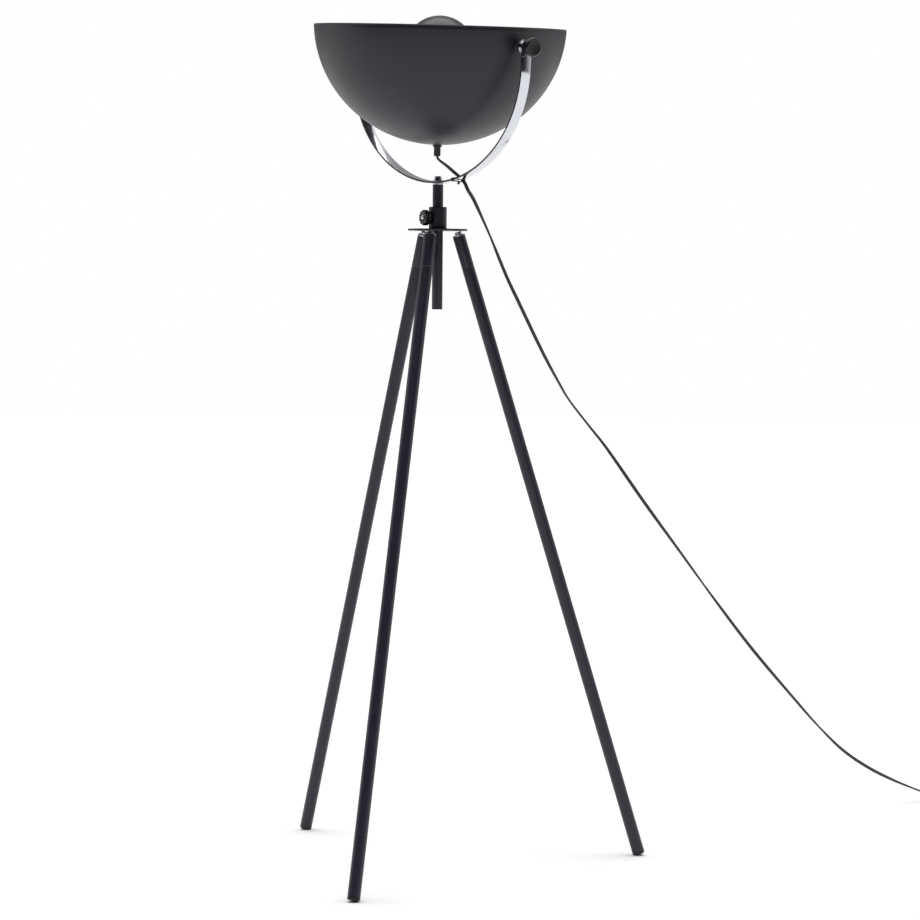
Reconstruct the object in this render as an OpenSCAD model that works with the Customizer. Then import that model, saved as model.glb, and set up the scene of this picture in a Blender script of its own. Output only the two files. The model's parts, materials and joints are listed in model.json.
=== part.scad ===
/* [Shade] */
// Outside diameter of the spun bowl at its rim
shade_d = 380; // [320:1:440]
// Height of the bowl from its bottom to its rim
shade_h = 176; // [150:1:190]
// Wall of the bowl
shade_wall = 1.2; // [1:0.1:2]
// Radius of the rolled edge at the rim
bead_r = 1.5; // [1:0.1:2.5]
// How far the pivots sit below the rim
pivot_drop = 28; // [20:1:40]
// Tilt of the shade about its pivots as it stands, in degrees
shade_set = 1.5; // [-5:0.5:5]

/* [Yoke] */
// Width of the flat bar
yoke_w = 17; // [14:1:22]
// Thickness of the flat bar
yoke_t = 3; // [2:0.5:4]
// Straight length of each arm above the bend
yoke_arm = 31; // [20:1:40]
// Room between the bowl and each arm, filled by boss and washers
pivot_gap = 14.4; // [14:0.1:22]
// Room between the rim's sweep and the bottom of the yoke
bottom_gap = 10.5; // [10:0.5:30]
// Turn of the yoke about the pole as it stands, in degrees
yoke_turn = 51; // [0:1:90]
// How far round its own bend the yoke is fixed off centre, in degrees
yoke_skew = 3.5; // [0:0.5:5]

/* [Pivot hardware] */
// Diameter of the pivot studs
stud_d = 6; // [5:0.5:8]
// Diameter of the steel washers
washer_d = 21; // [18:0.5:24]
// Thickness of the steel washers
washer_t = 1.6; // [1:0.1:2]
// Diameter of the friction washers
friction_d = 19; // [14:0.5:20]
// Diameter of the welded bosses
boss_d = 14; // [12:0.5:16]
// Diameter of the shade knobs
knob_d = 28; // [24:1:36]
// Thickness of the shade knobs
knob_t = 14; // [10:0.5:16]

/* [Tripod] */
// Diameter of the leg tubes
leg_d = 19; // [16:0.5:25]
// Wall of the leg tubes
leg_wall = 1.2; // [1:0.1:2]
// Length of each leg tube
leg_len = 991; // [700:1:1250]
// Angle of the legs from upright
leg_splay = 17; // [12:0.5:22]
// Direction of the first leg, in degrees
first_leg = 10; // [0:1:119]
// Radius of the circle on which the legs meet the plate
stud_circle_r = 30.2; // [28:0.1:36]
// Gap between the plate and the top of each tube
stud_gap = 7.5; // [5:0.5:12]
// Diameter of the leg studs
leg_stud_d = 10; // [6:0.5:12]
// Thickness of the foot caps below the tubes
foot_t = 4; // [3:0.5:8]
// Depth of the floor flat on the foot caps
foot_flat = 0.6; // [0.3:0.1:1]
// Diameter of the hub plate
plate_d = 90; // [84:1:120]
// Thickness of the hub plate
plate_t = 3; // [2:0.5:5]

/* [Pole] */
// Diameter of the pole
pole_d = 16; // [12:0.5:20]
// Wall of the pole
pole_wall = 1.5; // [1:0.1:2]
// Length of the pole
pole_len = 186; // [160:1:260]
// Pole left showing between collar and yoke
pole_out = 33.5; // [30:0.5:60]
// Diameter of the collar
collar_d = 27; // [24:0.5:36]
// Height of the collar
collar_h = 33; // [28:1:50]
// Diameter of the clamp screw
clamp_d = 6; // [5:0.5:8]
// Diameter of the lobed clamp knob
clamp_knob_d = 23.6; // [20:0.2:26]
// Thickness of the lobed clamp knob
clamp_knob_t = 9.5; // [8:0.5:16]

/* [Lamp] */
// Diameter of the lampholder
holder_d = 39; // [36:0.5:44]
// Largest diameter of the glass lamp
glass_d = 60; // [45:1:64]
// Radius of the bulb shield's dome
dome_r = 54; // [48:0.5:60]
// Height of the dome
dome_h = 42; // [30:1:50]
// How far the top of the dome stands above the rim
dome_rise = 17.6; // [5:0.1:30]
// Diameter of the rods that carry the dome
rod_d = 3; // [2.5:0.5:4]

/* [Mains lead] */
// Diameter that stands for the flat twin cord
cord_d = 4; // [3:0.5:6]
// Middle diameter of the coil's turns
coil_d = 60; // [50:1:80]
// Length of the foot switch
switch_l = 74; // [60:1:90]
// Width of the foot switch
switch_w = 30; // [26:1:40]
// Travel of the foot switch's button
switch_travel = 2.5; // [1.5:0.5:4]

/* [Hidden] */
$fn = 96;
fit = 0.05;        // radial clearance of everything that turns or slides in a hole
gap = 0.15;        // room between flat faces that pass each other
cut = 1;           // how far a cutting shape runs past the face it cuts

// Tripod heights, counted up from the floor
foot_lift = leg_d / 2 * sin(leg_splay) - foot_flat;
plate_z = foot_lift + (stud_gap + leg_len + foot_t) * cos(leg_splay);
plate_top = plate_z + plate_t;
collar_top = plate_top + collar_h;
leg_bore = leg_d - 2 * leg_wall;
insert_flange = 1.6;
insert_l = 24;
groove_z = 50;
groove_w = 1.6;
groove_deep = 0.4;

// Pole
pole_top = collar_top + pole_out;
pole_bore = pole_d - 2 * pole_wall;
yoke_bolt_d = 8;
clamp_z = plate_top + collar_h / 2;
clamp_turn = 212;
clamp_knob_at = collar_d / 2 + 4;

// Bowl and yoke
bowl_b = shade_h + 7;
bowl_a = shade_d / 2 / sqrt(1 - pow((bowl_b - shade_h) / bowl_b, 2));
pivot_h = shade_h - pivot_drop;
pivot_r = bowl_a * sqrt(1 - pow((bowl_b - pivot_h) / bowl_b, 2));
rim_a = acos((bowl_b - shade_h) / bowl_b);
arm_in = pivot_r + pivot_gap;
arm_out = arm_in + yoke_t;
rim_reach = sqrt(pow(shade_d / 2, 2) + pow(pivot_drop, 2));
bend_h = rim_reach + bottom_gap + yoke_t - yoke_arm;
skew_a = atan(bend_h / arm_out * tan(yoke_skew));
bend_drop = arm_out * sin(skew_a) * sin(yoke_skew) + bend_h * cos(skew_a) * cos(yoke_skew);
yoke_under = pole_top + washer_t + 2 * gap;
yoke_z = yoke_under + bend_drop;
bolt_head_z = yoke_under + yoke_t + 0.4;
friction_at = arm_in - gap;
friction_t = 3.4;
inner_at = friction_at - friction_t;
boss_end = inner_at - washer_t;
outer_at = arm_out + gap;
knob_at = outer_at + washer_t + gap;
stud_end = knob_at + knob_t - 3;
tie_u = 55;
tie_b = asin(tie_u / arm_out);
tie_t = 1;
cord_side = 12;
cord_up = 0.5;

// Lamp stack, counted up from the outside of the bowl's bottom
gland_flange_d = 14;
gland_d = 10;
gland_l = 17;
gland_flange_t = 2.5;
gland_bore = 5.6;
stem_d = 9.6;
nut_t = 4;
nut_z = shade_wall + 0.5;
carrier_z = nut_z + nut_t + gap;
carrier_t = 1.5;
carrier_r = 48;
rod_r = 44;
holder_z = carrier_z + carrier_t + gap;
holder_base_h = 22;
shell_z = holder_z + holder_base_h + gap;
shell_h = 28;
bulb_z = holder_z + 24;
bulb_cap_d = 26.2;
bulb_cap_h = 25;
bulb_l = 105;
dome_top = shade_h + dome_rise;
dome_c = dome_top - dome_r;
dome_t = 1.2;

// Route of the lead, in the part's own frame. It leaves the gland, passes the tie on the yoke,
// hangs to the floor and runs into the foot switch.
route = [
    [-1.8, 9.1, 1073.2], [-0.7, 8.1, 1070], [3.2, 4.6, 1066], [10.3, -2, 1060.6], [17.8, -9, 1054.4],
    [25, -15.8, 1048], [31.6, -21.8, 1042.3], [36.6, -26.1, 1037.4], [41.2, -30.2, 1030.6],
    [45, -32.2, 1022], [54.2, -27.7, 1007], [68, -17.5, 978], [81.5, -7.5, 948],
    [94, 2, 918], [107, 11.5, 888], [122, 22.5, 857.5], [137, 33.5, 827], [152, 45, 796.5],
    [168, 56.5, 765.5], [185, 69, 735], [204, 83, 703.5], [235, 106, 664], [267, 130, 624],
    [325, 172.5, 542.5], [386, 218, 460], [449, 264.5, 375], [516.5, 314.5, 288],
    [593, 371, 198.5], [636, 402.5, 150], [681, 436, 105.5], [728, 471, 71], [777, 507, 43],
    [829, 546, 18], [848, 560, 10.5], [866, 573.5, 6.8], [884, 587, 6]
];
neck_end = 8;
drop_end = 19;
lead_end = 35;
plane_side = [-0.6, 0.8, 0];
neck_side = [0.6, 0.8, 0];
switch_turn = 37.5;
switch_at = [884, 587];
tail_route = [
    [942.7, 632, 6], [953, 639.5, 2.6], [966, 644, 2.1], [979, 641, 2.1], [988, 630, 2.1],
    [991, 613, 2.1], [988, 594, 2.1], [981, 576, 2.1], [973, 562, 2.1]
];
end_route = [[938, 525.3, 5], [930, 524.6, 4.6], [923, 524.5, 4.2], [917, 524.5, 4]];
coil_at = [940, 558];
coil_inner = coil_d / 2 - 5.4;
coil_outer = coil_d / 2 + 5.4;
coil_h = 7.2;
coil_tie_turn = 150;
plug_at = [895, 524.5];
plug_turn = 180;
plug_relief = 22;
plug_l = 36;
plug_w = 25;
plug_t = 13.5;
pin_d = 4;
pin_l = 19;
pin_spacing = 18.6;
cord_sides = 8;

function unit(v) = v / norm(v);
// Point and direction on the smooth curve through p, between p[i] and p[i + 1]
function before(p, i) = i == 0 ? 2 * p[0] - p[1] : p[i - 1];
function after(p, i) = i + 2 > len(p) - 1 ? 2 * p[i + 1] - p[i] : p[i + 2];
function curve(p, i, t) = 0.5 * (2 * p[i] + (p[i + 1] - before(p, i)) * t
    + (2 * before(p, i) - 5 * p[i] + 4 * p[i + 1] - after(p, i)) * t * t
    + (3 * p[i] - before(p, i) - 3 * p[i + 1] + after(p, i)) * t * t * t);
function slope(p, i, t) = 0.5 * ((p[i + 1] - before(p, i))
    + 2 * (2 * before(p, i) - 5 * p[i] + 4 * p[i + 1] - after(p, i)) * t
    + 3 * (3 * p[i] - before(p, i) - 3 * p[i + 1] + after(p, i)) * t * t);
function ring(c, d, side) = let(u = unit(cross(d, side)), v = unit(cross(d, u)))
    [for (k = [0 : cord_sides - 1]) c + cord_d / 2 * (cos(360 * k / cord_sides) * u
        + sin(360 * k / cord_sides) * v)];

// A closed tube along the points of p from number a to number b
module tube_along(p, a, b, steps, side) {
    rings = [for (i = [a : b - 1], k = [0 : steps - 1]) ring(curve(p, i, k / steps),
        slope(p, i, k / steps), side), ring(curve(p, b - 1, 1), slope(p, b - 1, 1), side)];
    n = cord_sides;
    last = len(rings) - 1;
    walls = [for (r = [0 : last - 1], k = [0 : n - 1], half = [0, 1]) half == 0
        ? [r * n + k, r * n + (k + 1) % n, (r + 1) * n + k]
        : [r * n + (k + 1) % n, (r + 1) * n + (k + 1) % n, (r + 1) * n + k]];
    polyhedron([for (r = rings, q = r) q], concat([[for (k = [n - 1 : -1 : 0]) k]], walls,
        [[for (k = [0 : n - 1]) last * n + k]]));
}

// Places: along a leg from the plate, out along the clamp screw, in the yoke, in the shade
module at_leg(k) {
    rotate([0, 0, first_leg + 120 * k]) translate([stud_circle_r, 0, plate_z])
        rotate([0, 180 - leg_splay, 0]) children();
}
module at_clamp() {
    translate([0, 0, clamp_z]) rotate([0, 0, clamp_turn]) rotate([0, 90, 0]) children();
}
module at_yoke() {
    translate([0, 0, yoke_z]) rotate([0, 0, -yoke_turn]) rotate([0, yoke_skew, 0]) children();
}
module at_pivot() {
    at_yoke() translate([0, 0, yoke_arm]) rotate([shade_set, 0, 0]) children();
}
module at_bottom() {
    at_pivot() translate([0, 0, -pivot_h]) children();
}
// A child drawn along +Z, laid along the pivot axis on one side
module at_side(s) {
    at_pivot() rotate([0, 90 * s, 0]) children();
}
module both_sides() {
    for (s = [1, -1]) at_side(s) children();
}
module tube(d, bore, h) {
    difference() {
        cylinder(d = d, h = h);
        translate([0, 0, -cut]) cylinder(d = bore, h = h + 2 * cut);
    }
}
module disc_edge(d, h, c) {
    rotate_extrude() polygon([[0, 0], [d / 2 - c, 0], [d / 2, c], [d / 2, h - c],
        [d / 2 - c, h], [0, h]]);
}
module below_floor() {
    translate([-1500, -1500, -100]) cube([3000, 3000, 100]);
}

// Tripod
module hub_plate() {
    color("#35333c") difference() {
        translate([0, 0, plate_z]) disc_edge(plate_d, plate_t, 0.5);
        translate([0, 0, plate_z - cut]) cylinder(d = pole_d + 1, h = plate_t + 2 * cut);
    }
}
module collar() {
    color("#3a3842") difference() {
        translate([0, 0, plate_top]) disc_edge(collar_d, collar_h, 0.8);
        translate([0, 0, plate_top - cut]) cylinder(d = pole_d + 2 * fit, h = collar_h + 2 * cut);
        at_clamp() cylinder(d = clamp_d + 2 * fit, h = collar_d);
    }
}
module leg_studs() {
    color("#c8c8c6") for (k = [0 : 2]) difference() {
        at_leg(k) translate([0, 0, -5]) cylinder(d = leg_stud_d, h = stud_gap + insert_l - 1);
        translate([-100, -100, plate_z]) cube([200, 200, 20]);
    }
}
module leg_inserts() {
    color("#d2d2d0") for (k = [0 : 2]) at_leg(k) translate([0, 0, stud_gap - insert_flange])
        difference() {
            union() {
                disc_edge(leg_d - 0.4, insert_flange, 0.3);
                cylinder(d = leg_bore - 2 * fit, h = insert_l);
            }
            translate([0, 0, -cut]) cylinder(d = leg_stud_d + 2 * fit, h = insert_l + 2 * cut);
        }
}
module leg(k) {
    color("#35333c") at_leg(k) translate([0, 0, stud_gap]) difference() {
        tube(leg_d, leg_bore, leg_len);
        translate([0, 0, groove_z]) tube(leg_d + 2, leg_d - 2 * groove_deep, groove_w);
    }
}
module leg_right() { leg(0); }
module leg_left() { leg(1); }
module leg_front() { leg(2); }
module foot(k) {
    color("#17171a") difference() {
        at_leg(k) translate([0, 0, stud_gap + leg_len]) {
            rotate_extrude() polygon([[0, 0], [leg_d / 2, 0], [leg_d / 2, foot_t - 1.2],
                [leg_d / 2 - 0.4, foot_t - 0.4], [leg_d / 2 - 1.2, foot_t], [0, foot_t]]);
            translate([0, 0, -14]) cylinder(d = leg_bore - 2 * fit, h = 14 + foot_t / 2);
        }
        below_floor();
    }
}
module foot_right() { foot(0); }
module foot_left() { foot(1); }
module foot_front() { foot(2); }

// Clamp
module clamp_screw() {
    color("#d6d6d8") at_clamp() {
        from = pole_d / 2 + 0.3;
        translate([0, 0, from]) cylinder(d = clamp_d, h = clamp_knob_at + clamp_knob_t - 1 - from);
        translate([0, 0, clamp_knob_at + clamp_knob_t - 1]) rotate_extrude()
            polygon([[0, 0], [4.2, 0], [4.2, 1], [3.4, 2.2], [2, 2.8], [0, 3]]);
    }
}
module clamp_knob() {
    lobes = 10;
    lobe_r = 2.9;
    color("#1b1b1e") at_clamp() difference() {
        union() {
            translate([0, 0, clamp_knob_at - 3]) cylinder(d = 13, h = 4);
            translate([0, 0, clamp_knob_at]) linear_extrude(clamp_knob_t) union() {
                circle(d = clamp_knob_d - 1.6);
                for (k = [0 : lobes - 1]) rotate(360 * k / lobes)
                    translate([clamp_knob_d / 2 - lobe_r, 0]) circle(r = lobe_r);
            }
        }
        translate([0, 0, clamp_knob_at - 4]) cylinder(d = clamp_d + 2 * fit, h = clamp_knob_t + 5);
        translate([0, 0, clamp_knob_at + clamp_knob_t - 1 - fit])
            cylinder(d = 13, h = 2);
    }
}

// Pole
module pole() {
    color("#3a3842") translate([0, 0, pole_top - pole_len]) tube(pole_d, pole_bore, pole_len);
}
module pole_cap() {
    color("#17171a") translate([0, 0, pole_top - pole_len]) {
        translate([0, 0, -2]) disc_edge(pole_d, 2, 0.6);
        translate([0, 0, -1]) cylinder(d = pole_bore - 2 * fit, h = 11);
    }
}
module pole_insert() {
    color("#b8b8b6") translate([0, 0, pole_top - 22])
        tube(pole_bore - 2 * fit, yoke_bolt_d + 2 * fit, 22);
}
module pole_washer() {
    color("#c9c9cb") translate([0, 0, pole_top + gap]) tube(pole_d, yoke_bolt_d + 2 * fit, washer_t);
}
module yoke_screw() {
    head_d = 13;
    head_h = 6;
    color("#d9dadd") {
        translate([0, 0, pole_top - 18])
            cylinder(d = yoke_bolt_d, h = bolt_head_z + washer_t + cut - pole_top + 18);
        translate([0, 0, bolt_head_z + washer_t]) rotate_extrude() polygon(concat([[0, 0]],
            [for (a = [0 : 10 : 90]) [head_d / 2 * pow(cos(a), 0.6), 1 + (head_h - 1) * sin(a)]]));
    }
}
module yoke_screw_washer() {
    color("#d0d0d2") translate([0, 0, bolt_head_z])
        tube(pole_d, yoke_bolt_d + 2 * fit, washer_t - fit);
}

// Yoke
module yoke() {
    bend = [for (a = [-90 : 3 : 90]) [arm_out * sin(a), -bend_h * cos(a)]];
    inside = [for (a = [90 : -3 : -90]) [arm_in * sin(a), -(bend_h - yoke_t) * cos(a)]];
    color("#c9ccd4") difference() {
        at_yoke() difference() {
            union() {
                rotate([90, 0, 0]) linear_extrude(yoke_w, center = true) polygon(concat(
                    [[-arm_out, yoke_arm]], bend, [[arm_out, yoke_arm], [arm_in, yoke_arm]],
                    inside, [[-arm_in, yoke_arm]]));
                for (s = [1, -1]) translate([0, 0, yoke_arm]) rotate([0, 90 * s, 0])
                    translate([0, 0, arm_in]) cylinder(d = yoke_w, h = yoke_t);
            }
            translate([0, 0, yoke_arm]) rotate([0, 90, 0])
                cylinder(d = stud_d + 2 * fit, h = 3 * arm_out, center = true);
        }
        translate([0, 0, yoke_under - 10]) cylinder(d = yoke_bolt_d + 2 * fit, h = 25);
    }
}
module friction_washers() {
    color("#cfd0d4") both_sides() translate([0, 0, inner_at])
        tube(friction_d, stud_d + 2 * fit, friction_t);
}
module inner_washers() {
    color("#cfd0d4") both_sides() translate([0, 0, boss_end])
        tube(washer_d, stud_d + 2 * fit, washer_t);
}
module outer_washers() {
    color("#cfd0d4") both_sides() translate([0, 0, outer_at])
        tube(washer_d, stud_d + 2 * fit, washer_t);
}
// A nylon tie round the bar and the cord beside it, with its head and its cut tail
module tie_loop(grow) {
    offset(r = grow) hull() {
        square([yoke_w, yoke_t], center = true);
        translate([cord_side, cord_up]) circle(r = cord_d / 2 + 0.8, $fn = 24);
    }
}
module cable_tie() {
    low = yoke_t / 2 + tie_t + 0.3;
    color("#141416") at_yoke()
        translate([(arm_out - yoke_t / 2) * sin(tie_b), 0, -(bend_h - yoke_t / 2) * cos(tie_b)])
        rotate([0, -atan(bend_h / arm_out * tan(tie_b)), 0]) {
            rotate([90, 0, 90]) linear_extrude(2.5, center = true) difference() {
                tie_loop(tie_t + 0.3);
                tie_loop(0.3);
            }
            translate([0, 4, -low - 0.2]) rotate([0, -50, 0]) translate([-4.6, -1, -1.2])
                cube([5, 3.6, 2.4]);
            translate([-1, yoke_w / 2 + 0.2, -low]) rotate([0, -8, 0]) cube([14, 1.6, 1]);
        }
}

// Shade
// Points of the bowl's section from its bottom to its rim, moved out by grow
function bowl_line(grow) = let(a = bowl_a + grow, b = bowl_b + grow,
    end = acos((bowl_b - shade_h) / b)) [for (k = [0 : 40])
        [a * sin(end * k / 40), bowl_b - b * cos(end * k / 40)]];
module bowl_fill(grow) {
    at_bottom() rotate_extrude($fn = 128) polygon(concat([[0, shade_h]], bowl_line(grow)));
}
module shade_bowl() {
    inner = bowl_line(-shade_wall);
    color("#4a4854") difference() {
        at_bottom() rotate_extrude($fn = 128) union() {
            polygon(concat(bowl_line(0), [for (k = [40 : -1 : 0]) inner[k]]));
            translate([shade_d / 2 - bead_r, shade_h - bead_r / 2]) circle(r = bead_r, $fn = 32);
        }
        at_bottom() cylinder(d = stem_d + 0.6, h = 30, center = true);
        both_sides() cylinder(d = stud_d + 0.4, h = shade_d);
    }
}
module pivot_bosses() {
    color("#4a4854") for (s = [1, -1]) difference() {
        at_side(s) translate([0, 0, pivot_r - 8]) cylinder(d = boss_d, h = boss_end - pivot_r + 8);
        bowl_fill(0.02);
        at_side(s) cylinder(d = stud_d + 2 * fit, h = shade_d);
    }
}
module pivot_studs() {
    color("#b4b4b6") {
        both_sides() translate([0, 0, pivot_r - 12]) cylinder(d = stud_d, h = stud_end - pivot_r + 12);
        for (s = [1, -1]) intersection() {
            at_side(s) translate([0, 0, pivot_r - 7]) cylinder(d = 13, h = 12);
            bowl_fill(-shade_wall - 0.1);
        }
    }
}
module shade_knob(s) {
    color("#1b1b1e") at_side(s) difference() {
        translate([0, 0, knob_at]) rotate_extrude() polygon([[0, 0], [8, 0], [8, 2],
            [knob_d / 2 - 0.8, 2], [knob_d / 2, 2.8], [knob_d / 2, knob_t - 1.4],
            [knob_d / 2 - 0.5, knob_t - 0.4], [knob_d / 2 - 1.5, knob_t], [0, knob_t]]);
        translate([0, 0, knob_at - cut]) cylinder(d = stud_d + 2 * fit, h = stud_end - knob_at + cut + gap);
    }
}
module knob_right() { shade_knob(1); }
module knob_left() { shade_knob(-1); }

// Lamp stack
module cord_gland() {
    color("#17171a") at_bottom() difference() {
        union() {
            translate([0, 0, -gap - gland_flange_t]) disc_edge(gland_flange_d, gland_flange_t, 0.5);
            translate([0, 0, -gland_l]) cylinder(d = gland_d, h = gland_l - gap - 1);
            translate([0, 0, -1]) cylinder(d = stem_d, h = holder_z + 9);
        }
        translate([0, 0, -gland_l - cut]) cylinder(d = gland_bore, h = gland_l + holder_z + 20);
    }
}
module gland_nut() {
    color("#c2b27a") at_bottom() translate([0, 0, nut_z]) difference() {
        cylinder(d = 16, h = nut_t, $fn = 6);
        translate([0, 0, -cut]) cylinder(d = stem_d + 2 * fit, h = nut_t + 2 * cut);
    }
}
module shield_carrier() {
    color("#2b2a30") at_bottom() translate([0, 0, carrier_z]) difference() {
        disc_edge(2 * carrier_r, carrier_t, 0.3);
        translate([0, 0, -cut]) cylinder(d = stem_d + 2 * fit, h = carrier_t + 2 * cut);
        for (k = [0 : 2]) rotate([0, 0, 120 * k + 60]) translate([28, 0, -cut])
            cylinder(d = 18, h = carrier_t + 2 * cut);
    }
}
module shield_rods() {
    color("#2b2a30") for (k = [0 : 2]) intersection() {
        at_bottom() rotate([0, 0, 120 * k]) translate([rod_r, 0, carrier_z + carrier_t])
            cylinder(d = rod_d, h = dome_top);
        at_bottom() translate([0, 0, dome_c]) union() {
            sphere(r = dome_r - dome_t - 0.02);
            translate([0, 0, -dome_c]) cylinder(r = dome_r, h = dome_c);
        }
    }
}
module shield_dome() {
    edge_a = acos(1 - dome_h / dome_r);
    in_r = dome_r - dome_t;
    in_a = acos((dome_r - dome_h) / in_r);
    color("#26252b") at_bottom() translate([0, 0, dome_c]) rotate_extrude() polygon(concat(
        [for (k = [0 : 24]) [dome_r * sin(edge_a * k / 24), dome_r * cos(edge_a * k / 24)]],
        [for (k = [24 : -1 : 0]) [in_r * sin(in_a * k / 24), in_r * cos(in_a * k / 24)]]));
}
module lampholder_base() {
    color("#1b1b1e") at_bottom() translate([0, 0, holder_z]) difference() {
        rotate_extrude() polygon([[0, 0], [holder_d / 2 - 8, 0], [holder_d / 2 - 2, 4],
            [holder_d / 2, 9], [holder_d / 2, holder_base_h], [0, holder_base_h]]);
        translate([0, 0, -cut]) cylinder(d = stem_d + 2 * fit, h = 20);
        translate([0, 0, 10]) cylinder(d = holder_d - 5, h = holder_base_h);
    }
}
module lampholder_shell() {
    color("#1b1b1e") at_bottom() translate([0, 0, shell_z]) difference() {
        rotate_extrude() polygon([[0, 0], [holder_d / 2, 0], [holder_d / 2, 4],
            [holder_d / 2 - 1.5, 5], [holder_d / 2 - 1.5, shell_h - 6], [holder_d / 2, shell_h - 5],
            [holder_d / 2, shell_h], [0, shell_h]]);
        translate([0, 0, -cut]) cylinder(d = bulb_cap_d + 1.4, h = shell_h + 2 * cut);
    }
}
module bulb_cap() {
    turns = 6;
    pitch = 3.6;
    r = bulb_cap_d / 2;
    color("#cfcfc8") at_bottom() translate([0, 0, bulb_z]) rotate_extrude() polygon(concat(
        [[0, 0], [4, 0], [5, 1.5], [r - 3, 3]],
        [for (k = [0 : turns * 4 - 1]) [r - 0.6 + 0.6 * sin(90 * k), 3.4 + pitch * k / 4 * 0.95]],
        [[r - 0.6, bulb_cap_h], [0, bulb_cap_h]]));
}
module bulb_glass() {
    neck_r = 13.5;
    ball_r = glass_d / 2;
    ball_c = bulb_l - ball_r - bulb_cap_h;
    color("#f2f0ea") at_bottom() translate([0, 0, bulb_z + bulb_cap_h + fit]) rotate_extrude()
        polygon(concat([[0, 0], [neck_r, 0]],
            [for (k = [0 : 8]) let(t = k / 8) [neck_r + (ball_r * cos(25) - neck_r) * t * t,
                4 + (ball_c - ball_r * sin(25) - 4) * t]],
            [for (a = [-20 : 5 : 85]) [ball_r * cos(a), ball_c + ball_r * sin(a)]],
            [[0, ball_c + ball_r]]));
}

// Mains lead
module cord_neck() { color("#1d1d20") tube_along(route, 0, neck_end, 1, neck_side); }
module cord_drop() { color("#1d1d20") tube_along(route, neck_end, drop_end, 2, plane_side); }
module cord_lead() { color("#1d1d20") tube_along(route, drop_end, lead_end, 2, plane_side); }
module cord_tail() {
    color("#1d1d20") tube_along(tail_route, 0, len(tail_route) - 1, 2, [0, 0, 1]);
}
module cord_end() {
    color("#1d1d20") tube_along(end_route, 0, len(end_route) - 1, 2, [0, 0, 1]);
}
module cord_coil() {
    color("#1d1d20") translate([coil_at[0], coil_at[1], 0]) rotate_extrude()
        translate([coil_inner, 0]) square([coil_outer - coil_inner, coil_h]);
}
module coil_tie() {
    color("#141416") translate([coil_at[0], coil_at[1], 0]) rotate([0, 0, coil_tie_turn])
        translate([coil_d / 2, 0, 0]) rotate([90, 0, 0]) linear_extrude(3, center = true)
        difference() {
            translate([-7, 0]) square([14, coil_h + 1.2]);
            translate([-5.8, -cut]) square([11.6, coil_h + 0.2 + cut]);
        }
}
module at_switch() {
    translate([switch_at[0], switch_at[1], 0]) rotate([0, 0, switch_turn]) children();
}
module switch_plan(inset) {
    hull() for (x = [switch_w / 2, switch_l - switch_w / 2])
        translate([x, 0]) circle(d = switch_w - 2 * inset, $fn = 48);
}
module switch_base() {
    color("#1b1b1e") at_switch() difference() {
        linear_extrude(7) switch_plan(0);
        translate([0, 0, 1.6]) linear_extrude(7) switch_plan(1.6);
        translate([-cut, 0, 6]) rotate([0, 90, 0]) cylinder(d = cord_d + 0.6, h = switch_l + 2 * cut);
    }
}
module switch_cover() {
    color("#1b1b1e") at_switch() translate([0, 0, 7 + fit]) difference() {
        union() {
            linear_extrude(7) switch_plan(0);
            translate([0, 0, 7]) linear_extrude(2.5) switch_plan(1.5);
        }
        translate([0, 0, -cut]) linear_extrude(7) switch_plan(1.6);
        translate([-cut, 0, -1]) rotate([0, 90, 0]) cylinder(d = cord_d + 0.6, h = switch_l + 2 * cut);
        translate([switch_l / 2, 0, 0]) cylinder(d = 18.6, h = 20);
    }
}
module switch_button() {
    color("#2a2a2d") at_switch() translate([switch_l / 2, 0, 8 + switch_travel]) {
        disc_edge(18, 11, 0.8);
        translate([0, 0, -2]) cylinder(d = 22, h = 2.4);
    }
}
module at_plug() {
    translate([plug_at[0], plug_at[1], 0]) rotate([0, 0, plug_turn]) children();
}
module plug_body() {
    color("#1b1b1e") at_plug() {
        hull() for (x = [4, plug_l - 3], y = [-1, 1]) translate([x, y * (plug_w / 2 - (x < 5 ? 7 : 3)), 0])
            cylinder(r = 3, h = plug_t, $fn = 32);
        translate([-plug_relief, 0, cord_d]) rotate([0, 90, 0])
            cylinder(d1 = 5.6, d2 = 7.8, h = plug_relief + 2);
    }
}
module plug_pins() {
    color("#c9c9c4") at_plug() for (s = [-1, 1])
        translate([plug_l + fit, s * pin_spacing / 2, plug_t / 2]) rotate([0, 90, 0])
        cylinder(d = pin_d, h = pin_l);
}

hub_plate();
collar();
leg_studs();
leg_inserts();
leg_right();
leg_left();
leg_front();
foot_right();
foot_left();
foot_front();
clamp_screw();
clamp_knob();
pole();
pole_cap();
pole_insert();
pole_washer();
yoke_screw();
yoke_screw_washer();
yoke();
friction_washers();
outer_washers();
cable_tie();
shade_bowl();
pivot_bosses();
pivot_studs();
inner_washers();
knob_right();
knob_left();
cord_gland();
gland_nut();
shield_carrier();
shield_rods();
shield_dome();
lampholder_base();
lampholder_shell();
bulb_cap();
bulb_glass();
cord_neck();
cord_drop();
cord_lead();
cord_tail();
cord_coil();
cord_end();
coil_tie();
switch_base();
switch_cover();
switch_button();
plug_body();
plug_pins();
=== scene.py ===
# Tripod floor lamp: spun bowl in a chromed yoke, short pole, three tube legs and a flat twin lead
import bpy, bmesh, json
from math import sin, cos, tan, asin, acos, atan2, sqrt, pi, radians, hypot
from mathutils import Vector, Matrix


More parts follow.
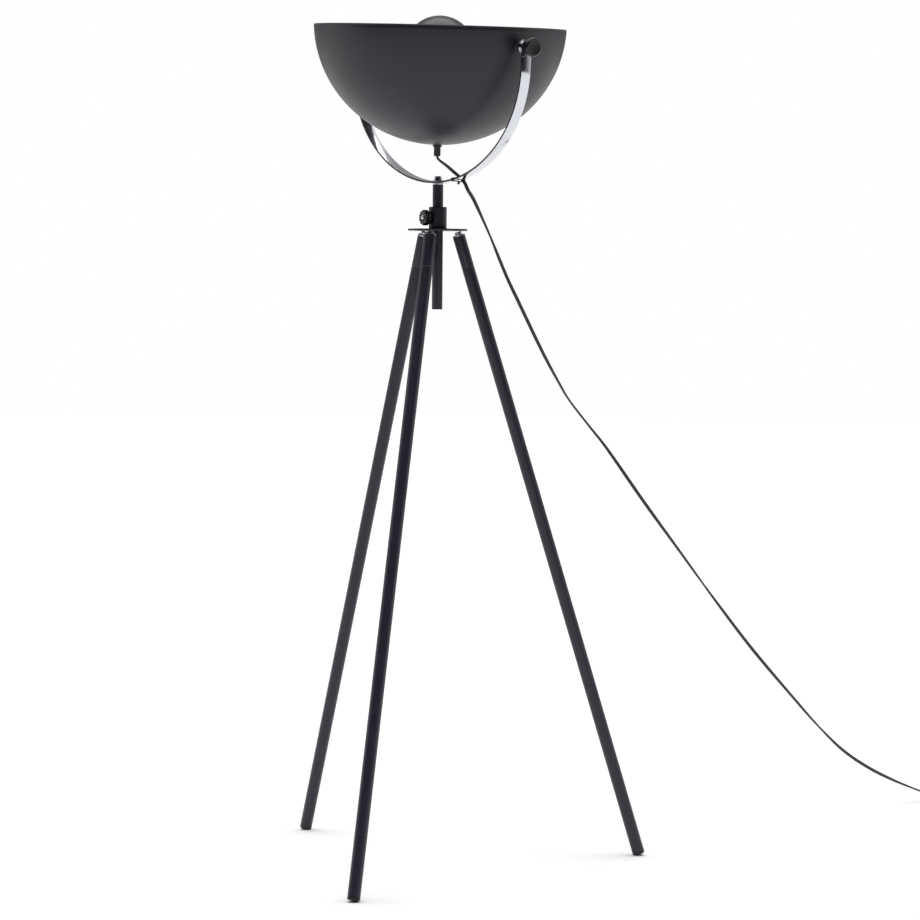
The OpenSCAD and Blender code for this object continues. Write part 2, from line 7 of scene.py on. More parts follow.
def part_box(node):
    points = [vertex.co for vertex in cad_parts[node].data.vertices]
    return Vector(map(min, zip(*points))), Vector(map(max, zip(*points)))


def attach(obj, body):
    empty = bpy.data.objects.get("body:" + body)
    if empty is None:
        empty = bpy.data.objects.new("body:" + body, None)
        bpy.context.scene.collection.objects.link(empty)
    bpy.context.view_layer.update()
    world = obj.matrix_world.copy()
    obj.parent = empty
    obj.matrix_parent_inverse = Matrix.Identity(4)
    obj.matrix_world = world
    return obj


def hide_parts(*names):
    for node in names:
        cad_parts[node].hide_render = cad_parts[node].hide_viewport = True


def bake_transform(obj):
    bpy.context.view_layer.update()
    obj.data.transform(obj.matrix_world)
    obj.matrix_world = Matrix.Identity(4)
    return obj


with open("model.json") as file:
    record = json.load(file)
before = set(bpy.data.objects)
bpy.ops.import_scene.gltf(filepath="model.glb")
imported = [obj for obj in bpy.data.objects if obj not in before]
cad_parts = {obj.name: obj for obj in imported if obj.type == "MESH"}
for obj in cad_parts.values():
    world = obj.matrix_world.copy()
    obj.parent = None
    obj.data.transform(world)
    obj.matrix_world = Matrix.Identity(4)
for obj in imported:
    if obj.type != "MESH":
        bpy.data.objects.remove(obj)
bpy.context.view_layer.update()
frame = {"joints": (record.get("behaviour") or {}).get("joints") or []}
joints = {joint["name"]: joint for joint in frame["joints"]}
mm = 0.001


def at(*millimetres):
    return Vector(millimetres) * mm


# ---- camera
view = {"stand": (36.5, -4500, 900.7), "down": 3.64, "roll": 0.459, "lens": 116.28}
cameraData = bpy.data.cameras.new("lampCamera")
cameraData.sensor_width, cameraData.lens = 36, view["lens"]
cameraData.clip_start, cameraData.clip_end = 0.1, 100
camera = bpy.data.objects.new("lampCamera", cameraData)
bpy.context.scene.collection.objects.link(camera)
camera.matrix_world = (Matrix.Translation(at(*view["stand"]))
                       @ Matrix.Rotation(radians(90 - view["down"]), 4, "X")
                       @ Matrix.Rotation(radians(view["roll"]), 4, "Z"))
bpy.context.scene.camera = camera
bpy.context.scene.view_settings.view_transform = "Standard"  # a white floor stays white
print("camera stands", round(-view["stand"][1] * mm, 2), "m in front")


def toLinear(hexColour):
    parts = [int(hexColour[i:i + 2], 16) / 255 for i in (1, 3, 5)]
    return tuple(p / 12.92 if p <= 0.04045 else ((p + 0.055) / 1.055) ** 2.4 for p in parts) + (1,)


def addNode(tree, kind, settings=None, links=None):
    made = tree.nodes.new(kind)
    for key, value in (settings or {}).items():
        setattr(made, key, value)
    for key, value in (links or {}).items():
        if isinstance(value, bpy.types.NodeSocket):
            tree.links.new(value, made.inputs[key])
        else:
            made.inputs[key].default_value = value
    return made


# ---- small modelling helpers
def rounded(corners, closed=False):
    # corners are (r, z) or (r, z, fillet) in millimetres
    outline, count = [], len(corners)
    for i, corner in enumerate(corners):
        here = Vector(corner[:2])
        fillet = corner[2] if len(corner) > 2 else 0
        if fillet <= 0 or (not closed and i in (0, count - 1)):
            outline.append((here.x, here.y))
            continue
        back = Vector(corners[i - 1][:2]) - here
        ahead = Vector(corners[(i + 1) % count][:2]) - here
        half = back.angle(ahead) / 2
        reach = min(fillet / tan(half), back.length * 0.49, ahead.length * 0.49)
        centre = here + (back.normalized() + ahead.normalized()).normalized() * (reach / cos(half))
        first = here + back.normalized() * reach - centre
        last = here + ahead.normalized() * reach - centre
        spread = first.angle(last)
        steps = max(2, round(spread / radians(18)))
        for s in range(steps + 1):
            t = s / steps
            spot = centre + (first * sin((1 - t) * spread) + last * sin(t * spread)) / sin(spread)
            outline.append((spot.x, spot.y))
    return outline


def putInScene(name, mesh):
    piece = bpy.data.objects.new(name, mesh)
    bpy.context.scene.collection.objects.link(piece)
    return piece


def closeUp(name, bm, sharp=32):
    bmesh.ops.remove_doubles(bm, verts=bm.verts, dist=1e-7)
    bmesh.ops.recalc_face_normals(bm, faces=bm.faces)
    mesh = bpy.data.meshes.new(name)
    bm.to_mesh(mesh)
    bm.free()
    for face in mesh.polygons:
        face.use_smooth = True
    mesh.set_sharp_from_angle(angle=radians(sharp))
    return putInScene(name, mesh)


def turn(bm, outline, where, steps=96, closed=False):
    # spins an outline round the place's own z, with the turn in u and the outline in v, in metres
    uvMap = bm.loops.layers.uv.get("along") or bm.loops.layers.uv.new("along")
    along = [0]
    for a, b in zip(outline, outline[1:] + outline[:1]):
        along.append(along[-1] + hypot(b[0] - a[0], b[1] - a[1]))
    rings = []
    for r, z in outline:
        if r < 1e-4:
            rings.append([bm.verts.new(where @ at(0, 0, z))])
        else:
            rings.append([bm.verts.new(where @ at(r * cos(2 * pi * k / steps), r * sin(2 * pi * k / steps), z))
                          for k in range(steps)])
    widest = max(r for r, z in outline)
    last = len(rings) if closed else len(rings) - 1
    for i in range(last):
        low, high = rings[i], rings[(i + 1) % len(rings)]
        for k in range(steps):
            n = (k + 1) % steps
            if len(low) == 1 and len(high) == 1:
                break
            if len(low) == 1:
                corners = [(low[0], k, 0), (high[n], k + 1, 1), (high[k], k, 1)]
            elif len(high) == 1:
                corners = [(low[k], k, 0), (low[n], k + 1, 0), (high[0], k, 1)]
            else:
                corners = [(low[k], k, 0), (low[n], k + 1, 0), (high[n], k + 1, 1), (high[k], k, 1)]
            face = bm.faces.new([corner[0] for corner in corners])
            for loop, (v, u, row) in zip(face.loops, corners):
                loop[uvMap].uv = (u / steps * 2 * pi * widest * mm, along[i + row] * mm)


def turned(name, shapes, steps=96, sharp=32):
    # shapes are (outline, place) or (outline, place, closed)
    bm = bmesh.new()
    for shape in shapes:
        turn(bm, shape[0], shape[1], steps, shape[2] if len(shape) > 2 else False)
    return closeUp(name, bm, sharp)


def loft(bm, rings, closeEnds=True):
    # rings of equally many points, each a closed loop
    uvMap = bm.loops.layers.uv.get("along") or bm.loops.layers.uv.new("along")
    made = [[bm.verts.new(p) for p in ring] for ring in rings]
    count, run = len(made[0]), 0
    for low, high in zip(made, made[1:]):
        step = (high[0].co - low[0].co).length
        for k in range(count):
            n = (k + 1) % count
            face = bm.faces.new((low[k], low[n], high[n], high[k]))
            for loop, spot in zip(face.loops, ((k, run), (k + 1, run), (k + 1, run + step), (k, run + step))):
                loop[uvMap].uv = (spot[0] / count, spot[1])
        run += step
    if closeEnds:
        bm.faces.new(made[0][::-1])
        bm.faces.new(made[-1])


def prism(bm, outline, low, high, where, edge=0.4):
    # an upright block over a flat outline, its rims bevelled by stepping the outline in
    centre = Vector((sum(p[0] for p in outline), sum(p[1] for p in outline))) / len(outline)
    widest = max((Vector(p) - centre).length for p in outline)
    rings = []
    for inset, z in ((edge, low), (edge * 0.3, low + edge * 0.3), (0, low + edge),
                     (0, high - edge), (edge * 0.3, high - edge * 0.3), (edge, high)):
        shrink = 1 - inset / widest
        rings.append([where @ at(centre.x + (x - centre.x) * shrink, centre.y + (y - centre.y) * shrink, z)
                      for x, y in outline])
    loft(bm, rings)


def spline(points, steps):
    # smooth curve through the points
    out = []
    for i in range(len(points) - 1):
        p1, p2 = points[i], points[i + 1]
        p0 = points[i - 1] if i else 2 * p1 - p2
        p3 = points[i + 2] if i + 2 < len(points) else 2 * p2 - p1
        for s in range(steps):
            t = s / steps
            out.append(0.5 * (2 * p1 + (p2 - p0) * t + (2 * p0 - 5 * p1 + 4 * p2 - p3) * t * t
                              + (3 * p1 - p0 - 3 * p2 + p3) * t ** 3))
    return out + [points[-1].copy()]


def lengthOf(points):
    return sum((b - a).length for a, b in zip(points, points[1:]))


# ---- places of the assemblies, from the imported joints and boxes
armHigh, pivotHigh = 31, 148  # the pivot above the yoke's bend and above the bowl's bottom
pivot = Vector(joints["shade_tilt"]["pos_m"])
pivotAxis = Vector(joints["shade_tilt"]["axis"]).normalized()
barSide = Vector((0, 0, 1)).cross(pivotAxis).normalized()
barUp = pivotAxis.cross(barSide)
barFrame = Matrix((pivotAxis, barSide, barUp)).transposed().to_4x4()
yokePlace = Matrix.Translation(pivot - barUp * armHigh * mm) @ barFrame
pivotPlace = Matrix.Translation(pivot) @ barFrame @ Matrix.Rotation(radians(1.5), 4, "X")
bottomPlace = pivotPlace @ Matrix.Translation(at(0, 0, -pivotHigh))
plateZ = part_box("hub_plate")[0][2] / mm
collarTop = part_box("collar")[1][2] / mm
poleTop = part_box("pole")[1][2] / mm


def sidePlace(side):
    return pivotPlace @ Matrix.Rotation(radians(90 * side), 4, "Y")


splay = {"first": 10, "out": 30.2, "lean": 163}


def legPlace(k):
    return (Matrix.Rotation(radians(splay["first"] + 120 * k), 4, "Z")
            @ Matrix.Translation(at(splay["out"], 0, plateZ)) @ Matrix.Rotation(radians(splay["lean"]), 4, "Y"))


upright = Matrix.Identity(4)
clampHigh, clampTurn = 19.5, 212
clampPlace = (Matrix.Translation(at(0, 0, plateZ + clampHigh)) @ Matrix.Rotation(radians(clampTurn), 4, "Z")
              @ Matrix.Rotation(radians(90), 4, "Y"))

# ---- the mains lead
lead = {"wide": 5.4, "thick": 3.2}
leadRoute = [at(*p) for p in [
    (-1.8, 9.1, 1073.2), (-0.7, 8.1, 1070), (3.2, 4.6, 1066), (10.3, -2, 1060.6), (17.8, -9, 1054.4),
    (25, -15.8, 1048), (31.6, -21.8, 1042.3), (36.6, -26.1, 1037.4), (41.2, -30.2, 1030.6),
    (45, -32.2, 1022), (54.2, -27.7, 1007), (68, -17.5, 978), (81.5, -7.5, 948),
    (94, 2, 918), (107, 11.5, 888), (122, 22.5, 857.5), (137, 33.5, 827), (152, 45, 796.5),
    (168, 56.5, 765.5), (185, 69, 735), (204, 83, 703.5), (235, 106, 664), (267, 130, 624),
    (325, 172.5, 542.5), (386, 218, 460), (449, 264.5, 375), (516.5, 314.5, 288),
    (593, 371, 198.5), (636, 402.5, 150), (681, 436, 105.5), (728, 471, 71), (777, 507, 43),
    (829, 546, 18), (848, 560, 10.5), (866, 573.5, 6.8), (884, 587, 6)]]
tailRoute = [at(*p) for p in [
    (942.7, 632, 6), (953, 639.5, 2.3), (966, 644, 1.7), (979, 641, 1.7), (988, 630, 1.7),
    (991, 613, 1.7), (988, 594, 1.7), (981, 577, 1.7)]]
plugRoute = [at(*p) for p in [(930, 524.6, 4.6), (923, 524.5, 4.2), (917, 524.5, 4)]]
coil = {"centre": (940, 558), "outer": 32.7, "points": 98, "perTurn": 30}
twistAlong = [(0, 80), (45, 35), (80, 5), (98, 10), (135, 70), (220, 150), (330, 200), (480, 275), (640, 350),
              (800, 420), (960, 500), (1150, 590), (1350, 700), (1500, 800), (1560, 810), (1900, 810)]


def twistAt(run):
    for (a, low), (b, high) in zip(twistAlong, twistAlong[1:]):
        if run <= b:
            t = (run - a) / (b - a)
            return low + (high - low) * t * t * (3 - 2 * t)
    return twistAlong[-1][1]


def twinSection(lobes=9):
    # two round cores side by side with a groove between them
    r, apart = lead["thick"] / 2, (lead["wide"] - lead["thick"]) / 2
    meet = acos(-apart / r)
    right = [(apart + r * cos(-meet + 2 * meet * k / lobes), r * sin(-meet + 2 * meet * k / lobes))
             for k in range(lobes + 1)]
    return right + [(-x, -y) for x, y in right[1:-1]]


def leadPiece(name, points, startRun, twist=None):
    bm = bmesh.new()
    rings, run, section = [], startRun, twinSection()
    for i, p in enumerate(points):
        ahead = (points[min(i + 1, len(points) - 1)] - points[max(i - 1, 0)]).normalized()
        if i:
            run += (p - points[i - 1]).length / mm
        level = ahead.cross(Vector((0, 1, 0))).normalized()
        if twist is not None:
            level = ahead.cross(Vector((0, 0, 1))).normalized()
        angle = radians(twistAt(run) if twist is None else twist)
        other = ahead.cross(level)
        wide = level * cos(angle) + other * sin(angle)
        thin = ahead.cross(wide)
        rings.append([p + wide * x * mm + thin * y * mm for x, y in section])
    loft(bm, rings)
    return closeUp(name, bm, 50), run


wholePath = spline(leadRoute, 6)  # one curve all the way, so the three stretches meet without a kink
neckPath, dropPath, leadPath = wholePath[:49], wholePath[48:115], wholePath[114:]


def ease(value, low, high):
    t = max(0, min(1, (value - low) / (high - low)))
    return t * t * (3 - 2 * t)


coilPath = []
for k in range(coil["points"]):  # three and a quarter turns, side by side in two layers
    turns = k / coil["perTurn"]
    r = coil["outer"] - lead["wide"] * ease(turns, 0.85, 1.1) + lead["wide"] * ease(turns, 2.85, 3.1)
    z = 1.7 + 3.3 * ease(turns, 1.85, 2.1)
    swing = -2 * pi * turns
    coilPath.append(at(coil["centre"][0] + r * cos(swing), coil["centre"][1] + r * sin(swing), z))
tailPath = spline(tailRoute + coilPath[1:3], 5)[:-5] + coilPath[1:-1]
tailPath += spline([coilPath[-1]] + plugRoute, 5)
print("lead lengths", [round(lengthOf(p), 3) for p in (neckPath, dropPath, leadPath, tailPath)])
cordNeck, run = leadPiece("cordNeck", neckPath, 0)
cordDrop, run = leadPiece("cordDrop", dropPath, run)
cordLead, run = leadPiece("cordLead", leadPath, run)
cordTail, _ = leadPiece("cordTail", tailPath, 0, 0)


# ---- finishes
def startFinish(name, colour, roughness, metallic=0.0, ior=None):
    finish = bpy.data.materials.new(name)
    finish.use_nodes = True
    tree = finish.node_tree
    tree.nodes.clear()
    shader = addNode(tree, "ShaderNodeBsdfPrincipled", None,
                     {"Base Color": toLinear(colour), "Roughness": roughness, "Metallic": metallic})
    if ior:
        shader.inputs["IOR"].default_value = ior
    addNode(tree, "ShaderNodeOutputMaterial", None, {"Surface": shader.outputs[0]})
    place = addNode(tree, "ShaderNodeTexCoord")
    return finish, tree, shader, place


def mottle(tree, shader, place, colours, grain, amount=1.0):
    # slow drift between two shades of the same finish; grain in millimetres
    drift = addNode(tree, "ShaderNodeTexNoise", None,
                    {"Vector": place, "Scale": 1 / (grain * mm), "Detail": 3.0, "Roughness": 0.55})
    ramp = addNode(tree, "ShaderNodeValToRGB", None, {"Fac": drift.outputs["Fac"]})
    ramp.color_ramp.elements[0].position, ramp.color_ramp.elements[1].position = 0.35, 0.65
    ramp.color_ramp.elements[0].color, ramp.color_ramp.elements[1].color = map(toLinear, colours)
    tree.links.new(ramp.outputs["Color"], shader.inputs["Base Color"])
    return drift


def roughRange(tree, shader, source, low, high):
    spread = addNode(tree, "ShaderNodeMapRange", None,
                     {"Value": source, "From Min": 0.3, "From Max": 0.7, "To Min": low, "To Max": high})
    tree.links.new(spread.outputs["Result"], shader.inputs["Roughness"])


def relief(tree, shader, source, height, strength=1.0, under=None):
    # height in millimetres
    links = {"Height": source, "Distance": height * mm, "Strength": strength}
    if under:
        links["Normal"] = under
    bump = addNode(tree, "ShaderNodeBump", None, links)
    tree.links.new(bump.outputs["Normal"], shader.inputs["Normal"])
    return bump.outputs["Normal"]


def powderCoat(name, colours, roughness, peel):
    # baked powder on steel: fine orange peel breaks the highlight softly
    finish, tree, shader, place = startFinish(name, colours[0], roughness, 0.0, 1.45)
    where = place.outputs["Object"]
    drift = mottle(tree, shader, where, colours, 38)
    skin = addNode(tree, "ShaderNodeTexNoise", None,
                   {"Vector": where, "Scale": 1 / (peel * mm), "Detail": 2.0, "Roughness": 0.45})
    grit = addNode(tree, "ShaderNodeTexVoronoi", {"feature": "SMOOTH_F1"},
                   {"Vector": where, "Scale": 1 / (peel * 0.55 * mm), "Smoothness": 0.6})
    both = addNode(tree, "ShaderNodeMath", {"operation": "MULTIPLY_ADD"},
                   {0: grit.outputs["Distance"], 1: 0.35, 2: skin.outputs["Fac"]})
    relief(tree, shader, both.outputs[0], 0.05, 0.55)
    roughRange(tree, shader, skin.outputs["Fac"], roughness - 0.05, roughness + 0.06)
    return finish


def spunCoat(name, colours, roughness, pitch):
    # spun steel under matte powder: faint rings from the forming roller show through
    finish, tree, shader, place = startFinish(name, colours[0], roughness, 0.0, 1.45)
    where = place.outputs["Object"]
    mottle(tree, shader, where, colours, 55)
    split = addNode(tree, "ShaderNodeSeparateXYZ", None, {"Vector": place.outputs["UV"]})
    wobble = addNode(tree, "ShaderNodeTexNoise", None, {"Vector": where, "Scale": 9.0, "Detail": 1.0})
    lines = addNode(tree, "ShaderNodeMath", {"operation": "MULTIPLY_ADD"},
                    {0: wobble.outputs["Fac"], 1: 1.6 * mm, 2: split.outputs["Y"]})
    rings = addNode(tree, "ShaderNodeTexNoise", {"noise_dimensions": "1D"},
                    {"W": lines.outputs[0], "Scale": 1 / (pitch * mm), "Detail": 2.0})
    under = relief(tree, shader, rings.outputs["Fac"], 0.035, 0.5)
    skin = addNode(tree, "ShaderNodeTexNoise", None, {"Vector": where, "Scale": 1 / (2.2 * mm), "Detail": 2.0})
    relief(tree, shader, skin.outputs["Fac"], 0.04, 0.5, under)
    roughRange(tree, shader, skin.outputs["Fac"], roughness - 0.05, roughness + 0.06)
    return finish


def plated(name, colour, roughness, wave, height):
    # bright plating over polished steel keeps a faint waviness of the buffing
    finish, tree, shader, place = startFinish(name, colour, roughness, 1.0)
    where = place.outputs["Object"]
    buffed = addNode(tree, "ShaderNodeTexNoise", None,
                     {"Vector": where, "Scale": 1 / (wave * mm), "Detail": 2.0, "Roughness": 0.4})
    relief(tree, shader, buffed.outputs["Fac"], height, 0.6)
    haze = addNode(tree, "ShaderNodeTexNoise", None, {"Vector": where, "Scale": 1 / (7 * mm), "Detail": 4.0})
    roughRange(tree, shader, haze.outputs["Fac"], max(0.02, roughness - 0.03), roughness + 0.04)
    return finish


def moulded(name, colours, roughness, grain, height, specular=0.5):
    # moulded plastic carries the sparked texture of its mould
    finish, tree, shader, place = startFinish(name, colours[0], roughness, 0.0, 1.46)
    shader.inputs["Specular IOR Level"].default_value = specular
    where = place.outputs["Object"]
    mottle(tree, shader, where, colours, 9)
    spark = addNode(tree, "ShaderNodeTexNoise", None,
                    {"Vector": where, "Scale": 1 / (grain * mm), "Detail": 4.0, "Roughness": 0.6})
    relief(tree, shader, spark.outputs["Fac"], height, 0.6)
    roughRange(tree, shader, spark.outputs["Fac"], roughness - 0.06, roughness + 0.08)
    return finish


def extruded(name, colours, roughness):
    # soft vinyl drawn through a die: long faint flow lines
    finish, tree, shader, place = startFinish(name, colours[0], roughness, 0.0, 1.52)
    where = place.outputs["Object"]
    mottle(tree, shader, where, colours, 14)
    stretch = addNode(tree, "ShaderNodeMapping", None, {"Vector": place.outputs["UV"], "Scale": (60, 90, 1)})
    flow = addNode(tree, "ShaderNodeTexNoise", None,
                   {"Vector": stretch.outputs["Vector"], "Scale": 1.0, "Detail": 3.0})
    relief(tree, shader, flow.outputs["Fac"], 0.05, 0.5)
    roughRange(tree, shader, flow.outputs["Fac"], roughness - 0.06, roughness + 0.08)
    return finish


finishes = {
    "blackCoat": powderCoat("satinPowderCoat", ("#231f2d", "#272331"), 0.36, 1.6),
    "shadeCoat": spunCoat("mattePowderOnSpunSteel", ("#17131f", "#1a1622"), 0.42, 1.3),
    "innerCoat": powderCoat("satinEnamelShield", ("#1e1b26", "#221f2a"), 0.3, 1.2),
    "chrome": plated("polishedChromePlate", "#d0d2d8", 0.09, 30, 0.04),
    "zinc": plated("brightZincPlate", "#c3c7cb", 0.24, 6, 0.05),
    "castZinc": plated("castZinc", "#9fa2a4", 0.38, 1.5, 0.08),
    "brightNickel": plated("nickelPlatedBrass", "#cbbf9d", 0.16, 9, 0.03),
    "plastic": moulded("sparkedBlackPolyamide", ("#17171a", "#1b1b1e"), 0.42, 0.9, 0.04),
    "knobPlastic": moulded("polishedPhenolicKnob", ("#141417", "#18181b"), 0.26, 1.8, 0.02),
    # the near-black colour on the yoke's two sheared edges is a painted dark reflection
    "darkReflectionEdge": powderCoat("paintedDarkReflectionEdge", ("#131217", "#17161b"), 0.5, 1.4),
    "nylon": moulded("blackNylonTie", ("#101012", "#161618"), 0.4, 1.4, 0.03),
    "vinyl": extruded("extrudedBlackVinyl", ("#18181a", "#1e1e21"), 0.4),
}


def frostedGlass():
    # etched inside, so the glass glows milky and keeps a smooth outer skin
    finish, tree, shader, place = startFinish("etchedLampGlass", "#f0eee8", 0.32, 0.0, 1.52)
    mottle(tree, shader, place.outputs["Object"], ("#eeece5", "#f5f4f0"), 22)
    shader.inputs["Subsurface Weight"].default_value = 0.25
    shader.inputs["Subsurface Scale"].default_value = 0.01
    shader.inputs["Coat Weight"].default_value = 0.5
    shader.inputs["Coat Roughness"].default_value = 0.06
    return finish


finishes["glass"] = frostedGlass()


def fit(piece, body, finish, *cadNodes):
    piece.data.materials.clear()
    piece.data.materials.append(finishes[finish])
    if body:
        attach(piece, body)
    if cadNodes:
        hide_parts(*cadNodes)
    return piece


def band(inner, outer, low, high, innerSoft, outerSoft):
    # four corners of a ring's or a strip's section, each with its fillet
    return [(inner, low, innerSoft), (outer, low, outerSoft), (outer, high, outerSoft), (inner, high, innerSoft)]


def hollow(name, corners, places, steps, *wear):
    # a ring or tube at each place; wear is its body, finish and nodes
    return fit(turned(name, [(rounded(corners, True), place, True) for place in places], steps), *wear)


def solid(name, corners, places, steps, *wear):
    # a pin or cap at each place, its outline running from the axis back to it
    return fit(turned(name, [(rounded(corners), place) for place in places], steps), *wear)


def along(place, *millimetres):
    # the place moved along its own axes
    return place @ Matrix.Translation(at(*millimetres))


def rolled(place, axis, degrees=90):
    # the place turned about one of its own axes
    return place @ Matrix.Rotation(radians(degrees), 4, axis)


print("finishes ready", len(finishes))

# ---- lead goes on its bodies
fit(cordNeck, None, "vinyl", "cord_neck")
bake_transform(cordNeck)
fit(cordDrop, None, "vinyl", "cord_drop")
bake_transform(cordDrop)
fit(cordLead, None, "vinyl", "cord_lead")
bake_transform(cordLead)
fit(cordTail, "stand", "vinyl", "cord_tail", "cord_coil", "cord_end")

# ---- world, floor and light: a white sweep, darker behind the camera so bright metal keeps a dark edge
studio = {"white": 1.0, "floor": "#f4f4f4", "reach": 14.0, "overhead": 2.6,
          "sides": [(0.36, 0.01), (0.56, 1.0), (0.66, 1.0), (0.9, 0.35)]}
world = bpy.data.worlds.new("studioWorld")
bpy.context.scene.world = world
world.use_nodes = True
sky = world.node_tree
sky.nodes.clear()
skyPlace = addNode(sky, "ShaderNodeTexCoord")
skySplit = addNode(sky, "ShaderNodeSeparateXYZ", None, {"Vector": skyPlace.outputs["Generated"]})
skyRange = addNode(sky, "ShaderNodeMapRange", None,
                   {"Value": skySplit.outputs["Y"], "From Min": -1.0, "From Max": 1.0})
skyFade = addNode(sky, "ShaderNodeValToRGB", None, {"Fac": skyRange.outputs["Result"]})
skyFade.color_ramp.interpolation = "EASE"
for stop, (where, level) in enumerate(studio["sides"]):
    mark = skyFade.color_ramp.elements[stop] if stop < 2 else skyFade.color_ramp.elements.new(where)
    mark.position, mark.color = where, (level, level, level, 1)
skyGlow = addNode(sky, "ShaderNodeBackground", None,
                  {"Color": skyFade.outputs["Color"], "Strength": studio["white"]})
skySeen = addNode(sky, "ShaderNodeBackground", None, {"Color": (1, 1, 1, 1), "Strength": 1.0})
skyRay = addNode(sky, "ShaderNodeLightPath")
skyMix = addNode(sky, "ShaderNodeMixShader", None,
                 {0: skyRay.outputs["Is Camera Ray"], 1: skyGlow.outputs[0], 2: skySeen.outputs[0]})
addNode(sky, "ShaderNodeOutputWorld", None, {"Surface": skyMix.outputs[0]})

bm = bmesh.new()
bmesh.ops.create_circle(bm, cap_ends=True, segments=96, radius=studio["reach"])
floor = closeUp("studioFloor", bm)
floorPaper, tree, shader, place = startFinish("paintedStudioFloor", studio["floor"], 0.75)
mottle(tree, shader, place.outputs["Object"], ("#f2f2f2", "#f6f6f6"), 400)
floor.data.materials.append(floorPaper)

ceiling = bpy.data.lights.new("ceilingPanel", "SUN")
ceiling.energy, ceiling.angle = studio["overhead"], radians(80)
bpy.context.scene.collection.objects.link(bpy.data.objects.new("ceilingPanel", ceiling))
print("studio ready")

# ---- shade
shade = {"rim": 380, "tall": 176, "wall": 1.2, "bead": 1.5, "steps": 192}
deep = shade["tall"] + 7  # the bowl is a little short of half an ellipsoid
broad = shade["rim"] / 2 / sqrt(1 - ((deep - shade["tall"]) / deep) ** 2)


def capOutline(inset, low, high, steps):
    # the bowl's section between two heights, moved in by the wall
    a, b = broad - inset, deep - inset
    first, last = acos(min(1, (deep - low) / b)), acos((deep - high) / b)
    return [(a * sin(first + (last - first) * k / steps), deep - b * cos(first + (last - first) * k / steps))
            for k in range(steps + 1)]


rimLine = shade["tall"] - shade["bead"]
bowlOutline = capOutline(0, 0.08, rimLine - 0.4, 60)
beadR, beadZ = shade["rim"] / 2 - shade["bead"], shade["tall"] - shade["bead"] / 2
bowlOutline += [(beadR + shade["bead"] * cos(radians(a)), beadZ + shade["bead"] * sin(radians(a)))
                for a in range(-35, 230, 20)]
bowlOutline += capOutline(shade["wall"], shade["wall"] + 0.08, rimLine - 0.9, 60)[::-1]
bowl = turned("shadeBowl", [(bowlOutline, bottomPlace, True)], shade["steps"], 40)
fit(bowl, "head", "shadeCoat", "shade_bowl")

stack = {"boss": 195.9, "inner": 197.5, "friction": 200.9, "outer": 204.2, "knob": 205.95, "knobThick": 14,
         "bore": 3.1}
sides = [sidePlace(side) for side in (1, -1)]
bm = bmesh.new()
for side in (1, -1):
    place = sidePlace(side)
    rings = []
    for r, rise in ((9.4, -0.35), (8.6, 0.05), (8.0, 0.5), (7.5, 1.2), (7.15, 2.1), (7, 3.2)):
        ring = []
        for k in range(64):
            x, y = r * cos(2 * pi * k / 64), r * sin(2 * pi * k / 64)
            tall = (deep - pivotHigh + x * side) / deep
            ring.append(place @ at(x, y, sqrt(broad ** 2 * (1 - tall * tall) - y * y) + rise))
        rings.append(ring)
    tip = stack["boss"]
    for r, u in ((7, tip - 0.5), (6.85, tip - 0.15), (6.5, tip), (3.2, tip)):
        rings.append([place @ at(r * cos(2 * pi * k / 64), r * sin(2 * pi * k / 64), u) for k in range(64)])
    loft(bm, rings)
fit(closeUp("pivotBosses", bm), "head", "shadeCoat", "pivot_bosses")


hollow("innerWashers", band(stack["bore"], 10.5, stack["boss"] + 0.01, stack["inner"] - 0.02, 0.15, 0.5),
       sides, 72, "head", "chrome", "inner_washers")
hollow("frictionWashers", band(stack["bore"], 9.5, stack["inner"] + 0.02, stack["friction"], 0.15, 0.9),
       sides, 72, "fork", "chrome", "friction_washers")
hollow("outerWashers", band(stack["bore"], 10.5, stack["outer"] + 0.01, stack["outer"] + 1.58, 0.15, 0.5),
       sides, 72, "fork", "chrome", "outer_washers")

# each stud has its head inside the bowl
solid("pivotStuds", [(0, 214.6), (2.6, 214.6, 0.3), (3, 213.9, 0.2), (3, 186.2), (6.2, 185.4, 0.5),
                     (6.2, 182.6, 0.8), (4.2, 181.2, 0.8), (0, 181.0)], sides, 48, "head", "zinc", "pivot_studs")

shadeKnob = {"wide": 28, "edge": 1.6, "dish": 0.35}


def knobOutline():
    r, t = shadeKnob["wide"] / 2, stack["knobThick"]
    return rounded([(0, 0.6), (7.6, 0.6, 0.2), (8, 0.05, 0.2), (8.6, 0.05, 0.2), (9, 1.9, 0.4),
                    (r - 0.9, 2.0, 0.3), (r, 2.9, 0.8), (r, t - shadeKnob["edge"], 1.3),
                    (r - shadeKnob["edge"], t, 1.0),
                    (r - 3.2, t, 0.3), (r - 3.6, t - shadeKnob["dish"], 0.3), (0, t - shadeKnob["dish"])])


for side, body, node in ((1, "right_knob", "knob_right"), (-1, "left_knob", "knob_left")):
    place = sidePlace(side) @ Matrix.Translation(at(0, 0, stack["knob"]))
    fit(turned("shadeKnob" + ("Right" if side > 0 else "Left"), [(knobOutline(), place)], 96, 28),
        body, "knobPlastic", node)
print("shade and pivots ready")

# ---- yoke bar
bar = {"wide": 17, "thick": 3, "armOut": 204.04, "bend": 174.55, "edge": 0.35}
half, lift = bar["wide"] / 2, bar["thick"] / 2
stations = []
for k in range(9):  # rounded tip, then the straight arm
    t = half * cos(pi / 2 * k / 8)
    stations.append((-(bar["armOut"] - lift), armHigh + t, -1, 0, max(0.05, sqrt(max(0, half * half - t * t)))))
for k in range(1, 6):
    stations.append((-(bar["armOut"] - lift), armHigh * (1 - k / 6), -1, 0, half))
for k in range(121):
    a = -pi / 2 + pi * k / 120
    x, z = (bar["armOut"] - lift) * sin(a), -(bar["bend"] - lift) * cos(a)
    n = Vector((x / (bar["armOut"] - lift) ** 2, z / (bar["bend"] - lift) ** 2)).normalized()
    stations.append((x, z, n.x, n.y, half))
stations += [(-x, z, -nx, nz, w) for x, z, nx, nz, w in stations[:14][::-1]]
